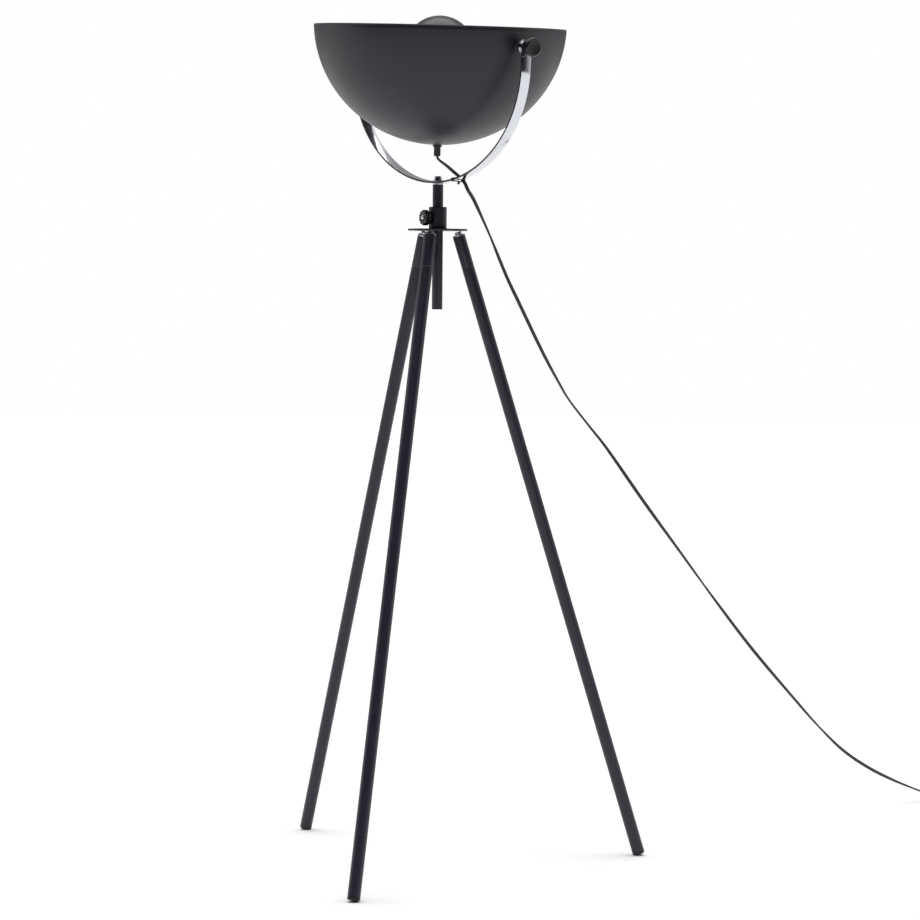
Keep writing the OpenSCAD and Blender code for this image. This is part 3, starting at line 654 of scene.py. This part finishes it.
edge = bar["edge"]
section = rounded(band(-half, half, -lift, lift, edge, edge), True)
bm = bmesh.new()
loft(bm, [[yokePlace @ at(x + nx * w, v * width / half, z + nz * w) for v, w in section]
          for x, z, nx, nz, width in stations])
yokeBar = fit(closeUp("yokeBar", bm, 40), "fork", "chrome", "yoke")
yokeBar.data.materials.append(finishes["darkReflectionEdge"])  # the strip's two sheared edges get a near-black colour, a painted dark reflection of the studio
for face in yokeBar.data.polygons:
    if abs(face.normal.dot(barSide)) > 0.8:
        face.material_index = 1

# ---- pole, screw and washers
underYoke = poleTop + 1.9
screw = {"headWide": 13, "headTall": 6, "crossWide": 1.7, "crossLong": 6.4, "crossDeep": 2.6}
hollow("poleWasher", band(4.1, 8, poleTop + 0.16, poleTop + 1.74, 0.2, 0.5), [upright], 72,
       "mast", "chrome", "pole_washer")
hollow("yokeScrewWasher", band(4.1, 8, underYoke + 3.42, underYoke + 4.93, 0.2, 0.5), [upright], 72,
       "mast", "chrome", "yoke_screw_washer")
headZ = underYoke + 5.0
domeLine = [(screw["headWide"] / 2 * cos(radians(a)) ** 0.55,
             headZ + 1.2 + (screw["headTall"] - 1.2) * sin(radians(a))) for a in range(5, 90, 7)]
screwOutline = rounded([(0, poleTop - 18), (3.4, poleTop - 18, 0.3), (4, poleTop - 17, 0.3), (4, headZ, 0.1),
                        (screw["headWide"] / 2, headZ, 0.4)]) + domeLine + [(0, headZ + screw["headTall"])]
yokeScrew = turned("yokeScrew", [(screwOutline, upright)], 96)
bm = bmesh.new()
for long, wideCut in ((screw["crossLong"], screw["crossWide"]), (screw["crossWide"], screw["crossLong"])):
    low = headZ + screw["headTall"] - screw["crossDeep"]
    loft(bm, [[at(x * long / 2 * f, y * wideCut / 2 * f, z) for x, y in ((-1, -1), (1, -1), (1, 1), (-1, 1))]
              for f, z in ((0.55, low), (1, low + 1.6), (1, low + 6))])
cutter = closeUp("crossCutter", bm)


def cutAway(piece, tool):
    modifier = piece.modifiers.new("cut", "BOOLEAN")
    modifier.object, modifier.operation, modifier.solver = tool, "DIFFERENCE", "EXACT"
    modifier.use_self = True
    graph = bpy.context.evaluated_depsgraph_get()
    mesh = bpy.data.meshes.new_from_object(piece.evaluated_get(graph))
    piece.modifiers.clear()
    old, piece.data = piece.data, mesh
    bpy.data.meshes.remove(old)
    bpy.data.objects.remove(tool)
    for face in piece.data.polygons:
        face.use_smooth = True
    piece.data.set_sharp_from_angle(angle=radians(32))
    return piece


cutAway(yokeScrew, cutter)
fit(yokeScrew, "mast", "chrome", "yoke_screw")
poleLow = poleTop - 186
hollow("poleTube", band(6.5, 8, poleLow, poleTop, 0.2, 0.4), [upright], 96, "mast", "blackCoat", "pole")
solid("poleCap", [(0, poleLow - 2), (8, poleLow - 2, 1.1), (8, poleLow, 0.15), (6.4, poleLow, 0.1),
                  (6.4, poleLow + 9), (0, poleLow + 9)], [upright], 72, "mast", "plastic", "pole_cap")
hollow("poleInsert", [(4.05, poleTop - 22, 0.2), (6.45, poleTop - 22, 0.3), (6.45, poleTop - 0.1, 0.2),
                      (4.05, poleTop - 0.1, 0.2)], [upright], 48, "mast", "castZinc", "pole_insert")

# ---- hub plate, collar and clamp
collarLow = plateZ + 3
hollow("hubPlate", band(8.5, 45, plateZ, collarLow, 0.3, 0.9), [upright], 128,
       "stand", "blackCoat", "hub_plate")
hollow("collarTube", [(8.05, collarLow, 0.2), (13.5, collarLow, 0.3), (13.5, collarTop, 0.8),
                      (8.05, collarTop, 0.4)], [upright], 96, "stand", "blackCoat", "collar")
clamp = {"knobFrom": 17.5, "knobThick": 9.5, "wide": 23.6, "lobes": 10, "lobeDeep": 1.5}
screwLow, screwHigh = 8.3, clamp["knobFrom"] + clamp["knobThick"] - 1
solid("clampScrew", [(0, screwLow), (2.4, screwLow, 0.3), (3, screwLow + 0.8, 0.2), (3, screwHigh, 0.1),
                     (4.2, screwHigh, 0.2), (4.2, screwHigh + 0.9, 0.3), (2.9, screwHigh + 2.3, 0.8),
                     (0, screwHigh + 2.9)], [clampPlace], 64, "clamp", "zinc", "clamp_screw")


def lobedRing(shrink, u, amount=1.0):
    ring = []
    for k in range(160):
        a = 2 * pi * k / 160
        swell = (0.5 + 0.5 * cos(clamp["lobes"] * a)) ** 0.6
        r = clamp["wide"] / 2 - shrink - clamp["lobeDeep"] * amount * (1 - swell)
        ring.append(clampPlace @ at(r * cos(a), r * sin(a), u))
    return ring


def roundRing(r, u):
    return [clampPlace @ at(r * cos(2 * pi * k / 160), r * sin(2 * pi * k / 160), u) for k in range(160)]


near, far = clamp["knobFrom"], clamp["knobFrom"] + clamp["knobThick"]
bm = bmesh.new()
loft(bm, [roundRing(3.2, near - 3), roundRing(6.1, near - 3), roundRing(6.5, near - 2.6),
          roundRing(6.5, near - 0.3), roundRing(6.9, near), lobedRing(1.6, near), lobedRing(0.7, near + 0.25),
          lobedRing(0.15, near + 0.8), lobedRing(0, near + 1.6), lobedRing(0, far - 2.0),
          lobedRing(0.25, far - 1.1), lobedRing(0.9, far - 0.35), lobedRing(1.8, far - 0.02, 0.8),
          roundRing(8.0, far), roundRing(6.9, far), roundRing(6.5, far - 0.3), roundRing(6.5, far - 0.95),
          roundRing(3.2, far - 1.0)])
fit(closeUp("clampKnob", bm, 45), "clamp", "knobPlastic", "clamp_knob")
print("yoke, pole and clamp ready")

# ---- legs
leg = {"wide": 19, "bore": 16.6, "gap": 7.5, "long": 991, "groove": 50, "foot": 4}
legPlaces = [legPlace(k) for k in range(3)]
gap, groove, end = leg["gap"], leg["gap"] + leg["groove"], leg["gap"] + leg["long"]
bore, skin = leg["bore"] / 2, leg["wide"] / 2
tubeLine = [(bore, gap, 0.2), (skin, gap, 0.5), (skin, groove - 0.9, 0.4), (skin - 0.4, groove, 0.5),
            (skin, groove + 0.9, 0.4), (skin, end, 0.3), (bore, end, 0.2)]
footOutline = rounded([(0, end - 13), (7.4, end - 13, 0.5), (8.2, end - 11), (8.2, end, 0.1), (skin, end, 0.2),
                       (skin, end + leg["foot"] - 1.3, 1.1), (8.2, end + leg["foot"], 0.8),
                       (0, end + leg["foot"])])
for name, place in zip(("right", "left", "front"), legPlaces):
    hollow("leg" + name.title(), tubeLine, [place], 72, "stand", "blackCoat", "leg_" + name)
    bm = bmesh.new()
    turn(bm, footOutline, place, 64)
    bmesh.ops.remove_doubles(bm, verts=bm.verts, dist=1e-7)
    cutFace = bmesh.ops.bisect_plane(bm, geom=bm.verts[:] + bm.edges[:] + bm.faces[:], plane_co=(0, 0, 0),
                                     plane_no=(0, 0, 1), clear_inner=True)
    rim = [item for item in cutFace["geom_cut"] if isinstance(item, bmesh.types.BMEdge)]
    bmesh.ops.contextual_create(bm, geom=rim)
    fit(closeUp("foot" + name.title(), bm), "stand", "plastic", "foot_" + name)
hollow("legInserts", [(5.05, gap - 1.6, 0.2), (9.3, gap - 1.6, 0.4), (9.3, gap, 0.1), (8.25, gap),
                      (8.25, gap + 22, 0.4), (5.05, gap + 22, 0.2)], legPlaces, 48,
       "stand", "zinc", "leg_inserts")
solid("legStuds", [(0, 1.6), (5, 1.6, 0.1), (5, gap + 17, 0.4), (4.4, gap + 18, 0.2), (0, gap + 18)],
      legPlaces, 40, "stand", "zinc", "leg_studs")
print("tripod ready")

# ---- lamp stack inside the bowl
gland = {"flange": 14, "body": 10, "long": 17, "bore": 5.6}
inside, barrel, flange = gland["bore"] / 2, gland["body"] / 2, gland["flange"] / 2
hollow("cordGland", [(inside, -gland["long"], 0.3), (4.2, -gland["long"], 1.0),
                     (barrel, -gland["long"] + 1.2, 0.6), (barrel, -2.9, 0.3), (flange, -2.65, 0.5),
                     (flange, -0.15, 0.5), (4.8, -0.15), (4.8, 16, 0.3), (inside, 16, 0.2)],
       [bottomPlace], 64, "head", "plastic", "cord_gland")
nutZ = 1.7
bm = bmesh.new()
flats = 8 / cos(pi / 6) * 0.866
hexa = [(flats * cos(pi / 3 * k), flats * sin(pi / 3 * k)) for k in range(6)]
rings = []
for r, z in ((4.85, nutZ), (0, nutZ), (0, nutZ + 4), (4.85, nutZ + 4)):
    if r:
        rings.append([bottomPlace @ at(r * cos(pi / 3 * k / 4), r * sin(pi / 3 * k / 4), z) for k in range(24)])
    else:
        ring = []
        for k in range(24):
            a, b = Vector(hexa[k // 4]), Vector(hexa[(k // 4 + 1) % 6])
            spot = a.lerp(b, (k % 4) / 4)
            ring.append(bottomPlace @ at(spot.x, spot.y, z))
        rings.append(ring)
loft(bm, rings + [rings[0]], False)
fit(closeUp("glandNut", bm), "head", "brightNickel", "gland_nut")

carrier = {"reach": 48, "rodsAt": 44, "thick": 1.5, "holeWide": 18, "holeAt": 28, "low": 5.85}
carrierTop = carrier["low"] + carrier["thick"]
carrierLine = rounded(band(4.9, carrier["reach"], carrier["low"], carrierTop, 0.1, 0.5), True)
carrierDisc = turned("shieldCarrier", [(carrierLine, bottomPlace, True)], 96)
holeLine = [(0, -3), (carrier["holeWide"] / 2, -3), (carrier["holeWide"] / 2, 20), (0, 20)]
holePlaces = [along(rolled(bottomPlace, "Z", 60 + 120 * k), carrier["holeAt"], 0, 0) for k in range(3)]
cutter = turned("holeCutter", [(holeLine, place) for place in holePlaces], 48)
cutAway(carrierDisc, cutter)
fit(carrierDisc, "head", "innerCoat", "shield_carrier")
dome = {"radius": 54, "tall": 42, "top": 193.6, "wall": 1.2}
domeMid = dome["top"] - dome["radius"]
domeEdge = acos(1 - dome["tall"] / dome["radius"])
inner = dome["radius"] - dome["wall"]
innerEdge = acos((dome["radius"] - dome["tall"]) / inner)
domeLine = [(dome["radius"] * sin(domeEdge * k / 48), domeMid + dome["radius"] * cos(domeEdge * k / 48))
            for k in range(49)]
lipR, lipZ = (dome["radius"] - 0.6) * sin(domeEdge), domeMid + (dome["radius"] - 0.6) * cos(domeEdge) - 0.1
domeLine += [(lipR + 0.55 * sin(radians(a)), lipZ - 0.25 * cos(radians(a))) for a in (60, 30, 0, -30, -60)]
domeLine += [(inner * sin(innerEdge * k / 48), domeMid + inner * cos(innerEdge * k / 48))
             for k in range(48, -1, -1)]
fit(turned("shieldDome", [(domeLine, bottomPlace)], 128, 50), "head", "innerCoat", "shield_dome")
rodLow, rodTop = carrierTop + 0.01, domeMid + sqrt(inner ** 2 - carrier["rodsAt"] ** 2) + 0.4
solid("shieldRods", [(0, rodLow), (1.5, rodLow, 0.2), (1.5, rodTop, 0.3), (0, rodTop)],
      [along(rolled(bottomPlace, "Z", 120 * k), carrier["rodsAt"], 0, 0) for k in range(3)], 32,
      "head", "innerCoat", "shield_rods")

holder = {"wide": 39, "low": 7.5, "baseTall": 22, "shellTall": 28}
rim, foot = holder["wide"] / 2, holder["low"]
top = foot + holder["baseTall"]
hollow("lampholderBase", [(4.9, foot, 0.2), (rim - 8, foot, 1.0), (rim - 2, foot + 4, 2.0),
                          (rim, foot + 9, 2.0), (rim, top, 0.6), (rim - 2.5, top, 0.4),
                          (rim - 2.5, foot + 10, 0.5), (4.9, foot + 10, 0.3)], [bottomPlace], 96, "head",
                          "plastic", "lampholder_base")
foot += holder["baseTall"] + 0.15
top = foot + holder["shellTall"]
hollow("lampholderShell", [(13.8, foot, 0.3), (rim, foot, 0.6), (rim, foot + 4, 0.5),
                           (rim - 1.5, foot + 5, 0.5), (rim - 1.5, foot + 22, 0.5), (rim, foot + 23, 0.5),
                           (rim, top, 0.9), (13.8, top, 0.5)], [bottomPlace], 96, "head", "plastic",
                           "lampholder_shell")
bulb = {"low": 31.5, "capTall": 25, "capWide": 26.2, "ball": 60, "tall": 105, "pitch": 3.6}
capZ, capR = bulb["low"], bulb["capWide"] / 2
capTop = capZ + bulb["capTall"]
solid("bulbCap", [(0, capZ), (4, capZ, 0.6), (5, capZ + 1.5, 0.5), (capR - 3, capZ + 3, 0.6),
                  (capR - 0.75, capZ + 3.9, 0.4), (capR - 0.75, capZ + 23.2, 0.4),
                  (capR - 0.2, capZ + 24.2, 0.3), (capR - 0.6, capTop, 0.2), (0, capTop)],
      [bottomPlace], 96, "head", "brightNickel", "bulb_cap")
glassZ = capTop + 0.05
ballR, ballZ = bulb["ball"] / 2, bulb["tall"] - bulb["ball"] / 2 - bulb["capTall"]
neckR, meet = 13.5, radians(25)
glassLine = [(0, glassZ), (neckR - 0.3, glassZ), (neckR, glassZ + 0.4)]
glassLine += [(neckR + (ballR * cos(meet) - neckR) * (k / 16) ** 2,
               glassZ + 4 + (ballZ - ballR * sin(meet) - 4) * k / 16) for k in range(17)]
glassLine += [(ballR * cos(radians(a)), glassZ + ballZ + ballR * sin(radians(a))) for a in range(-21, 90, 4)]
glassLine += [(0, glassZ + ballZ + ballR)]
fit(turned("bulbGlass", [(glassLine, bottomPlace)], 96, 40), "head", "glass", "bulb_glass")
print("lamp stack ready")

# ---- nylon tie on the yoke arm
tie = {"along": 55, "strapWide": 2.5, "strapThick": 1.0, "clear": 0.3}
tieTurn = asin(tie["along"] / bar["armOut"])
tieSpot = at((bar["armOut"] - lift) * sin(tieTurn), 0, -(bar["bend"] - lift) * cos(tieTurn))
tiePlace = (yokePlace @ Matrix.Translation(tieSpot)
            @ Matrix.Rotation(-atan2(bar["bend"] * tan(tieTurn), bar["armOut"]), 4, "Y"))


def loopPoints(grow):
    # the strap hugs the bar and the lead beside it
    spots, hull = [], []
    for x, y, r in ((-half, -lift, 0), (half, -lift, 0), (half, lift, 0), (-half, lift, 0), (12, 0.5, 2.8)):
        spots += [(x + (r + grow) * cos(2 * pi * k / 48), y + (r + grow) * sin(2 * pi * k / 48))
                  for k in range(48)]
    spots = sorted(set(spots))
    for run in (spots, spots[::-1]):
        side = []
        for p in run:
            while len(side) > 1 and ((side[-1][0] - side[-2][0]) * (p[1] - side[-2][1])
                                     - (side[-1][1] - side[-2][1]) * (p[0] - side[-2][0])) <= 0:
                side.pop()
            side.append(p)
        hull += side[:-1]
    return hull


def evenly(loop, count):
    closed = [Vector(p) for p in loop] + [Vector(loop[0])]
    whole, out, i, gone = lengthOf(closed), [], 0, 0
    for k in range(count):
        target = whole * k / count
        while gone + (closed[i + 1] - closed[i]).length < target:
            gone += (closed[i + 1] - closed[i]).length
            i += 1
        step = max(1e-9, (closed[i + 1] - closed[i]).length)
        out.append(closed[i].lerp(closed[i + 1], (target - gone) / step))
    return out


def boxPiece(bm, where, low, high, edge):
    # a small block with rounded corners and softened rims, its length along z
    outline = rounded(band(low[0], high[0], low[1], high[1], edge, edge), True)
    prism(bm, outline, low[2], high[2], where, edge)


strapWide, strapThick = tie["strapWide"] / 2, tie["strapThick"] / 2
middle = evenly(loopPoints(tie["clear"] + strapThick), 120)
strap = rounded(band(-strapWide, strapWide, -strapThick, strapThick, 0.2, 0.2), True)
bm = bmesh.new()
rings = []
for k, p in enumerate(middle):
    ahead = (middle[(k + 1) % len(middle)] - middle[k - 1]).normalized()
    rings.append([tiePlace @ at(u, p.x - ahead.y * v, p.y + ahead.x * v) for u, v in strap])
loft(bm, rings + [rings[0]], False)
low = lift + 1.3
headPlace = rolled(rolled(along(tiePlace, 0, 4, -low - 0.2), "Y", -50), "Y", -90)
boxPiece(bm, headPlace, (-1.15, -0.95, 0.0), (1.15, 2.55, 4.5), 0.5)
tailPlace = rolled(rolled(along(tiePlace, -1, half + 0.2, -low), "Y", -8), "Y")
boxPiece(bm, tailPlace, (-0.98, 0.02, 0.1), (-0.02, 1.58, 13.9), 0.25)
fit(closeUp("cableTie", bm), "fork", "nylon", "cable_tie")

# ---- foot switch, plug and coil tie
switch = {"long": 74, "wide": 30, "at": (884, 587), "turn": 37.5, "button": 18, "leadHigh": 6, "leadWide": 4.7}
switchPlace = rolled(Matrix.Translation(at(*switch["at"], 0)), "Z", switch["turn"])
buttonPlace = along(switchPlace, switch["long"] / 2, 0, 0)


def capsule(inset, steps=32):
    r, out = switch["wide"] / 2 - inset, []
    for middle, start in ((switch["long"] - switch["wide"] / 2, -pi / 2), (switch["wide"] / 2, pi / 2)):
        out += [(middle + r * cos(start + pi * k / steps), r * sin(start + pi * k / steps))
                for k in range(steps + 1)]
    return out


def switchHalf(name, layers):
    # layers are (inset, height); the lead's throat is cut through from end to end
    bm = bmesh.new()
    loft(bm, [[switchPlace @ at(x, y, z) for x, y in capsule(inset)] for inset, z in layers])
    throatR = switch["leadWide"] / 2
    throat = turned("throatCutter", [([(0, -5), (throatR, -5), (throatR, 90), (0, 90)],
                                      rolled(along(switchPlace, 0, 0, switch["leadHigh"]), "Y"))], 24)
    return cutAway(closeUp(name, bm), throat)


fit(switchHalf("switchBase", [(1.0, 0.02), (0.4, 0.25), (0.05, 0.9), (0, 1.6), (0, 6.7), (0.25, 6.98)]),
    "stand", "plastic", "switch_base")
switchCover = switchHalf("switchCover", [(0.25, 7.07), (0, 7.35), (0, 13.2), (0.15, 14.0), (0.6, 14.7),
                                         (1.2, 15.3), (2.1, 15.9), (3.2, 16.3), (4.4, 16.52)])
wellR, buttonR = switch["button"] / 2 + 0.3, switch["button"] / 2
wellLine = [(0, 8), (wellR, 8), (wellR, 15.6), (wellR + 0.6, 16.6), (wellR + 0.6, 20), (0, 20)]
cutAway(switchCover, turned("wellCutter", [(wellLine, buttonPlace)], 64))
fit(switchCover, "stand", "plastic", "switch_cover")
solid("switchButton", [(0, 10.5), (buttonR, 10.5, 0.3), (buttonR, 20.2, 1.2), (7.4, 21.2, 1.0), (5, 21.0, 1.0),
                       (0, 20.7)], [buttonPlace], 72, "button", "knobPlastic", "switch_button")

plug = {"at": (895, 524.5), "turn": 180, "thick": 13.5, "pinsApart": 18.6, "pinLong": 19}
plugPlace = rolled(Matrix.Translation(at(*plug["at"], 0)), "Z", plug["turn"])
plugRings = []
for u, across, low, high, soft in (  # from the lead's sleeve to the face with the pins
        (-20, 2.7, 1.3, 6.7, 2.6), (-14, 2.9, 1.1, 6.9, 2.8), (-6, 3.3, 0.7, 7.3, 3.2), (0.2, 3.85, 0.2,
                                                                                         7.8, 3.7),
        (1.2, 6.2, 0.15, 10.0, 3.6), (2.6, 8.0, 0.1, 12.0, 3.6), (6, 9.0, 0.05, 13.3, 3.4),
        (14, 10.2, 0.05, 13.45, 3.2), (26, 11.6, 0.05, 13.45, 3.0), (34, 12.4, 0.05, 13.45, 3.0),
        (35.6, 12.3, 0.15, 13.35, 2.8), (36, 11.9, 0.5, 13.0, 2.4)):
    outline = rounded(band(-across, across, low, high, soft, soft), True)
    plugRings.append([plugPlace @ at(u, p.x, p.y) for p in evenly(outline, 64)])
bm = bmesh.new()
loft(bm, plugRings)
fit(closeUp("plugBody", bm, 40), "stand", "plastic", "plug_body")
pinPlaces = [rolled(along(plugPlace, 36.05, side * plug["pinsApart"] / 2, plug["thick"] / 2), "Y")
             for side in (-1, 1)]
solid("plugPins", [(0, 0), (2, 0, 0.1), (2, 16.5, 0.6), (1.5, 18.6, 0.4), (1.1, plug["pinLong"], 0.3),
                   (0, plug["pinLong"])], pinPlaces, 40, "stand", "brightNickel", "plug_pins")
tiedPlace = rolled(along(rolled(Matrix.Translation(at(*coil["centre"], 0)), "Z", 150), 30, 0, 0), "X")
bm = bmesh.new()
rings = []
wrap = evenly(rounded([(-6.4, 0.05), (6.4, 0.05), (6.4, 7.8, 2.5), (-6.4, 7.8, 2.5)], True), 96)
for k, p in enumerate(wrap):
    ahead = (wrap[(k + 1) % len(wrap)] - wrap[k - 1]).normalized()
    ring = []
    for u, v in ((-1.45, -0.4), (1.45, -0.4), (1.45, 0.5), (-1.45, 0.5)):
        x, y = p.x + ahead.y * v, p.y - ahead.x * v
        ring.append(tiedPlace @ at(max(-6.98, min(6.98, x)), max(0.02, min(8.38, y)), u))
    rings.append(ring)
loft(bm, rings + [rings[0]], False)
fit(closeUp("coilTie", bm), "stand", "nylon", "coil_tie")
print("switch and plug ready")

# ---- Geometry Nodes: parts that repeat or run along a path, baked to plain meshes
def startTree(name, sockets):
    tree = bpy.data.node_groups.new(name, "GeometryNodeTree")
    tree.interface.new_socket("Geometry", in_out="OUTPUT", socket_type="NodeSocketGeometry")
    tree.interface.new_socket("Geometry", in_out="INPUT", socket_type="NodeSocketGeometry")
    for label, kind, value in sockets:
        made = tree.interface.new_socket(label, in_out="INPUT", socket_type=kind)
        if value is not None:
            made.default_value = value
    return tree, addNode(tree, "NodeGroupInput"), addNode(tree, "NodeGroupOutput")


def finishTree(tree, shape, given, out):
    real = addNode(tree, "GeometryNodeRealizeInstances", None, {"Geometry": shape})
    painted = addNode(tree, "GeometryNodeSetMaterial", None,
                      {"Geometry": real.outputs["Geometry"], "Material": given.outputs["Material"]})
    tree.links.new(painted.outputs["Geometry"], out.inputs["Geometry"])


def threadTree():
    # a ridge wound round a screw: a spiral carries a small triangular profile
    tree, given, out = startTree("threadAlong", [
        ("Radius", "NodeSocketFloat", 0.003), ("Length", "NodeSocketFloat", 0.01),
        ("Pitch", "NodeSocketFloat", 0.001), ("Ridge", "NodeSocketFloat", 0.0004), ("Material",
                                                                                    "NodeSocketMaterial", None)])
    turns = addNode(tree, "ShaderNodeMath", {"operation": "DIVIDE"},
                    {0: given.outputs["Length"], 1: given.outputs["Pitch"]})
    spiral = addNode(tree, "GeometryNodeCurveSpiral", None,
                     {"Resolution": 40, "Rotations": turns.outputs[0], "Start Radius": given.outputs["Radius"],
                      "End Radius": given.outputs["Radius"], "Height": given.outputs["Length"]})
    ridge = addNode(tree, "GeometryNodeCurvePrimitiveCircle", None,
                    {"Resolution": 6, "Radius": given.outputs["Ridge"]})
    swept = addNode(tree, "GeometryNodeCurveToMesh", None,
                    {"Curve": spiral.outputs[0], "Profile Curve": ridge.outputs[0], "Fill Caps": True})
    soft = addNode(tree, "GeometryNodeSetShadeSmooth", None, {0: swept.outputs[0]})
    finishTree(tree, soft.outputs[0], given, out)
    return tree


def ribTree():
    # grip ribs: one rounded rib stood at every point round a circle
    tree, given, out = startTree("ribsRound", [
        ("Ribs", "NodeSocketInt", 40), ("Radius", "NodeSocketFloat", 0.018), ("Tall", "NodeSocketFloat", 0.014),
        ("Rib", "NodeSocketFloat", 0.0006), ("Lift", "NodeSocketFloat", 0.0),
        ("Material", "NodeSocketMaterial", None)])
    stand = addNode(tree, "GeometryNodeMeshCylinder", None,
                    {"Vertices": 10, "Radius": given.outputs["Rib"], "Depth": given.outputs["Tall"]})
    ring = addNode(tree, "GeometryNodeMeshCircle", None,
                   {"Vertices": given.outputs["Ribs"], "Radius": given.outputs["Radius"]})
    raised = addNode(tree, "ShaderNodeCombineXYZ", None, {"Z": given.outputs["Lift"]})
    moved = addNode(tree, "GeometryNodeTransform", None,
                    {"Geometry": ring.outputs[0], "Translation": raised.outputs[0]})
    placed = addNode(tree, "GeometryNodeInstanceOnPoints", None,
                     {"Points": moved.outputs[0], "Instance": stand.outputs[0]})
    real = addNode(tree, "GeometryNodeRealizeInstances", None, {"Geometry": placed.outputs[0]})
    soft = addNode(tree, "GeometryNodeSetShadeSmooth", None, {0: real.outputs[0]})
    finishTree(tree, soft.outputs[0], given, out)
    return tree


threadAlong, ribsRound = threadTree(), ribTree()


def bakeTree(name, tree, values, places, body, finish):
    # runs the tree once, then lays its mesh at every place; lengths in millimetres
    host = putInScene(name + "Bake", bpy.data.meshes.new(name + "Bake"))
    modifier = host.modifiers.new("grow", "NODES")
    modifier.node_group = tree
    for item in tree.interface.items_tree:
        if item.in_out == "INPUT" and item.name in values:
            isLength = item.socket_type == "NodeSocketFloat"
            modifier[item.identifier] = values[item.name] * mm if isLength else values[item.name]
        elif item.in_out == "INPUT" and item.name == "Material":
            modifier[item.identifier] = finishes[finish]
    grown = bpy.data.meshes.new_from_object(host.evaluated_get(bpy.context.evaluated_depsgraph_get()))
    bpy.data.objects.remove(host)
    bm = bmesh.new()
    for place in places:
        start = len(bm.verts)
        bm.from_mesh(grown)
        bm.verts.ensure_lookup_table()
        for v in bm.verts[start:]:
            v.co = place @ v.co
    return fit(closeUp(name, bm, 50), body, finish)


# threads are drawn a little coarser than life so they read from across a room
for name, radius, long, pitch, ridge, places, body, finish in (
        ("legStudThread", 4.95, 4.2, 1.5, 0.38, [along(place, 0, 0, 1.75) for place in legPlaces],
         "stand", "zinc"),
        ("clampScrewThread", 2.95, 5.2, 1.0, 0.26, [along(clampPlace, 0, 0, 9.0)], "clamp", "zinc"),
        ("yokeScrewThread", 3.95, 10, 1.25, 0.3, [along(upright, 0, 0, poleTop - 17)], "mast", "zinc"),
        ("studThread", 2.95, 9, 1.0, 0.24, [along(place, 0, 0, 205.0) for place in sides], "head", "zinc"),
        ("bulbCapThread", 12.35, 18, bulb["pitch"], 0.75, [along(bottomPlace, 0, 0, bulb["low"] + 4.6)],
         "head", "brightNickel")):
    bakeTree(name, threadAlong, {"Radius": radius, "Length": long, "Pitch": pitch, "Ridge": ridge}, places,
             body, finish)
for name, ribs, radius, tall, rib, high, place, body, finish in (
        ("holderRibs", 44, 18.0, 15.6, 0.75, 43.3, bottomPlace, "head", "plastic"),
        ("glandRibs", 20, 4.75, 10.6, 0.42, -9.2, bottomPlace, "head", "plastic"),
        ("buttonRibs", 30, 8.75, 2.2, 0.3, 18.2, buttonPlace, "button", "knobPlastic")):
    bakeTree(name, ribsRound, {"Ribs": ribs, "Radius": radius, "Tall": tall, "Rib": rib, "Lift": high}, [place],
             body, finish)
print("threads and ribs grown")
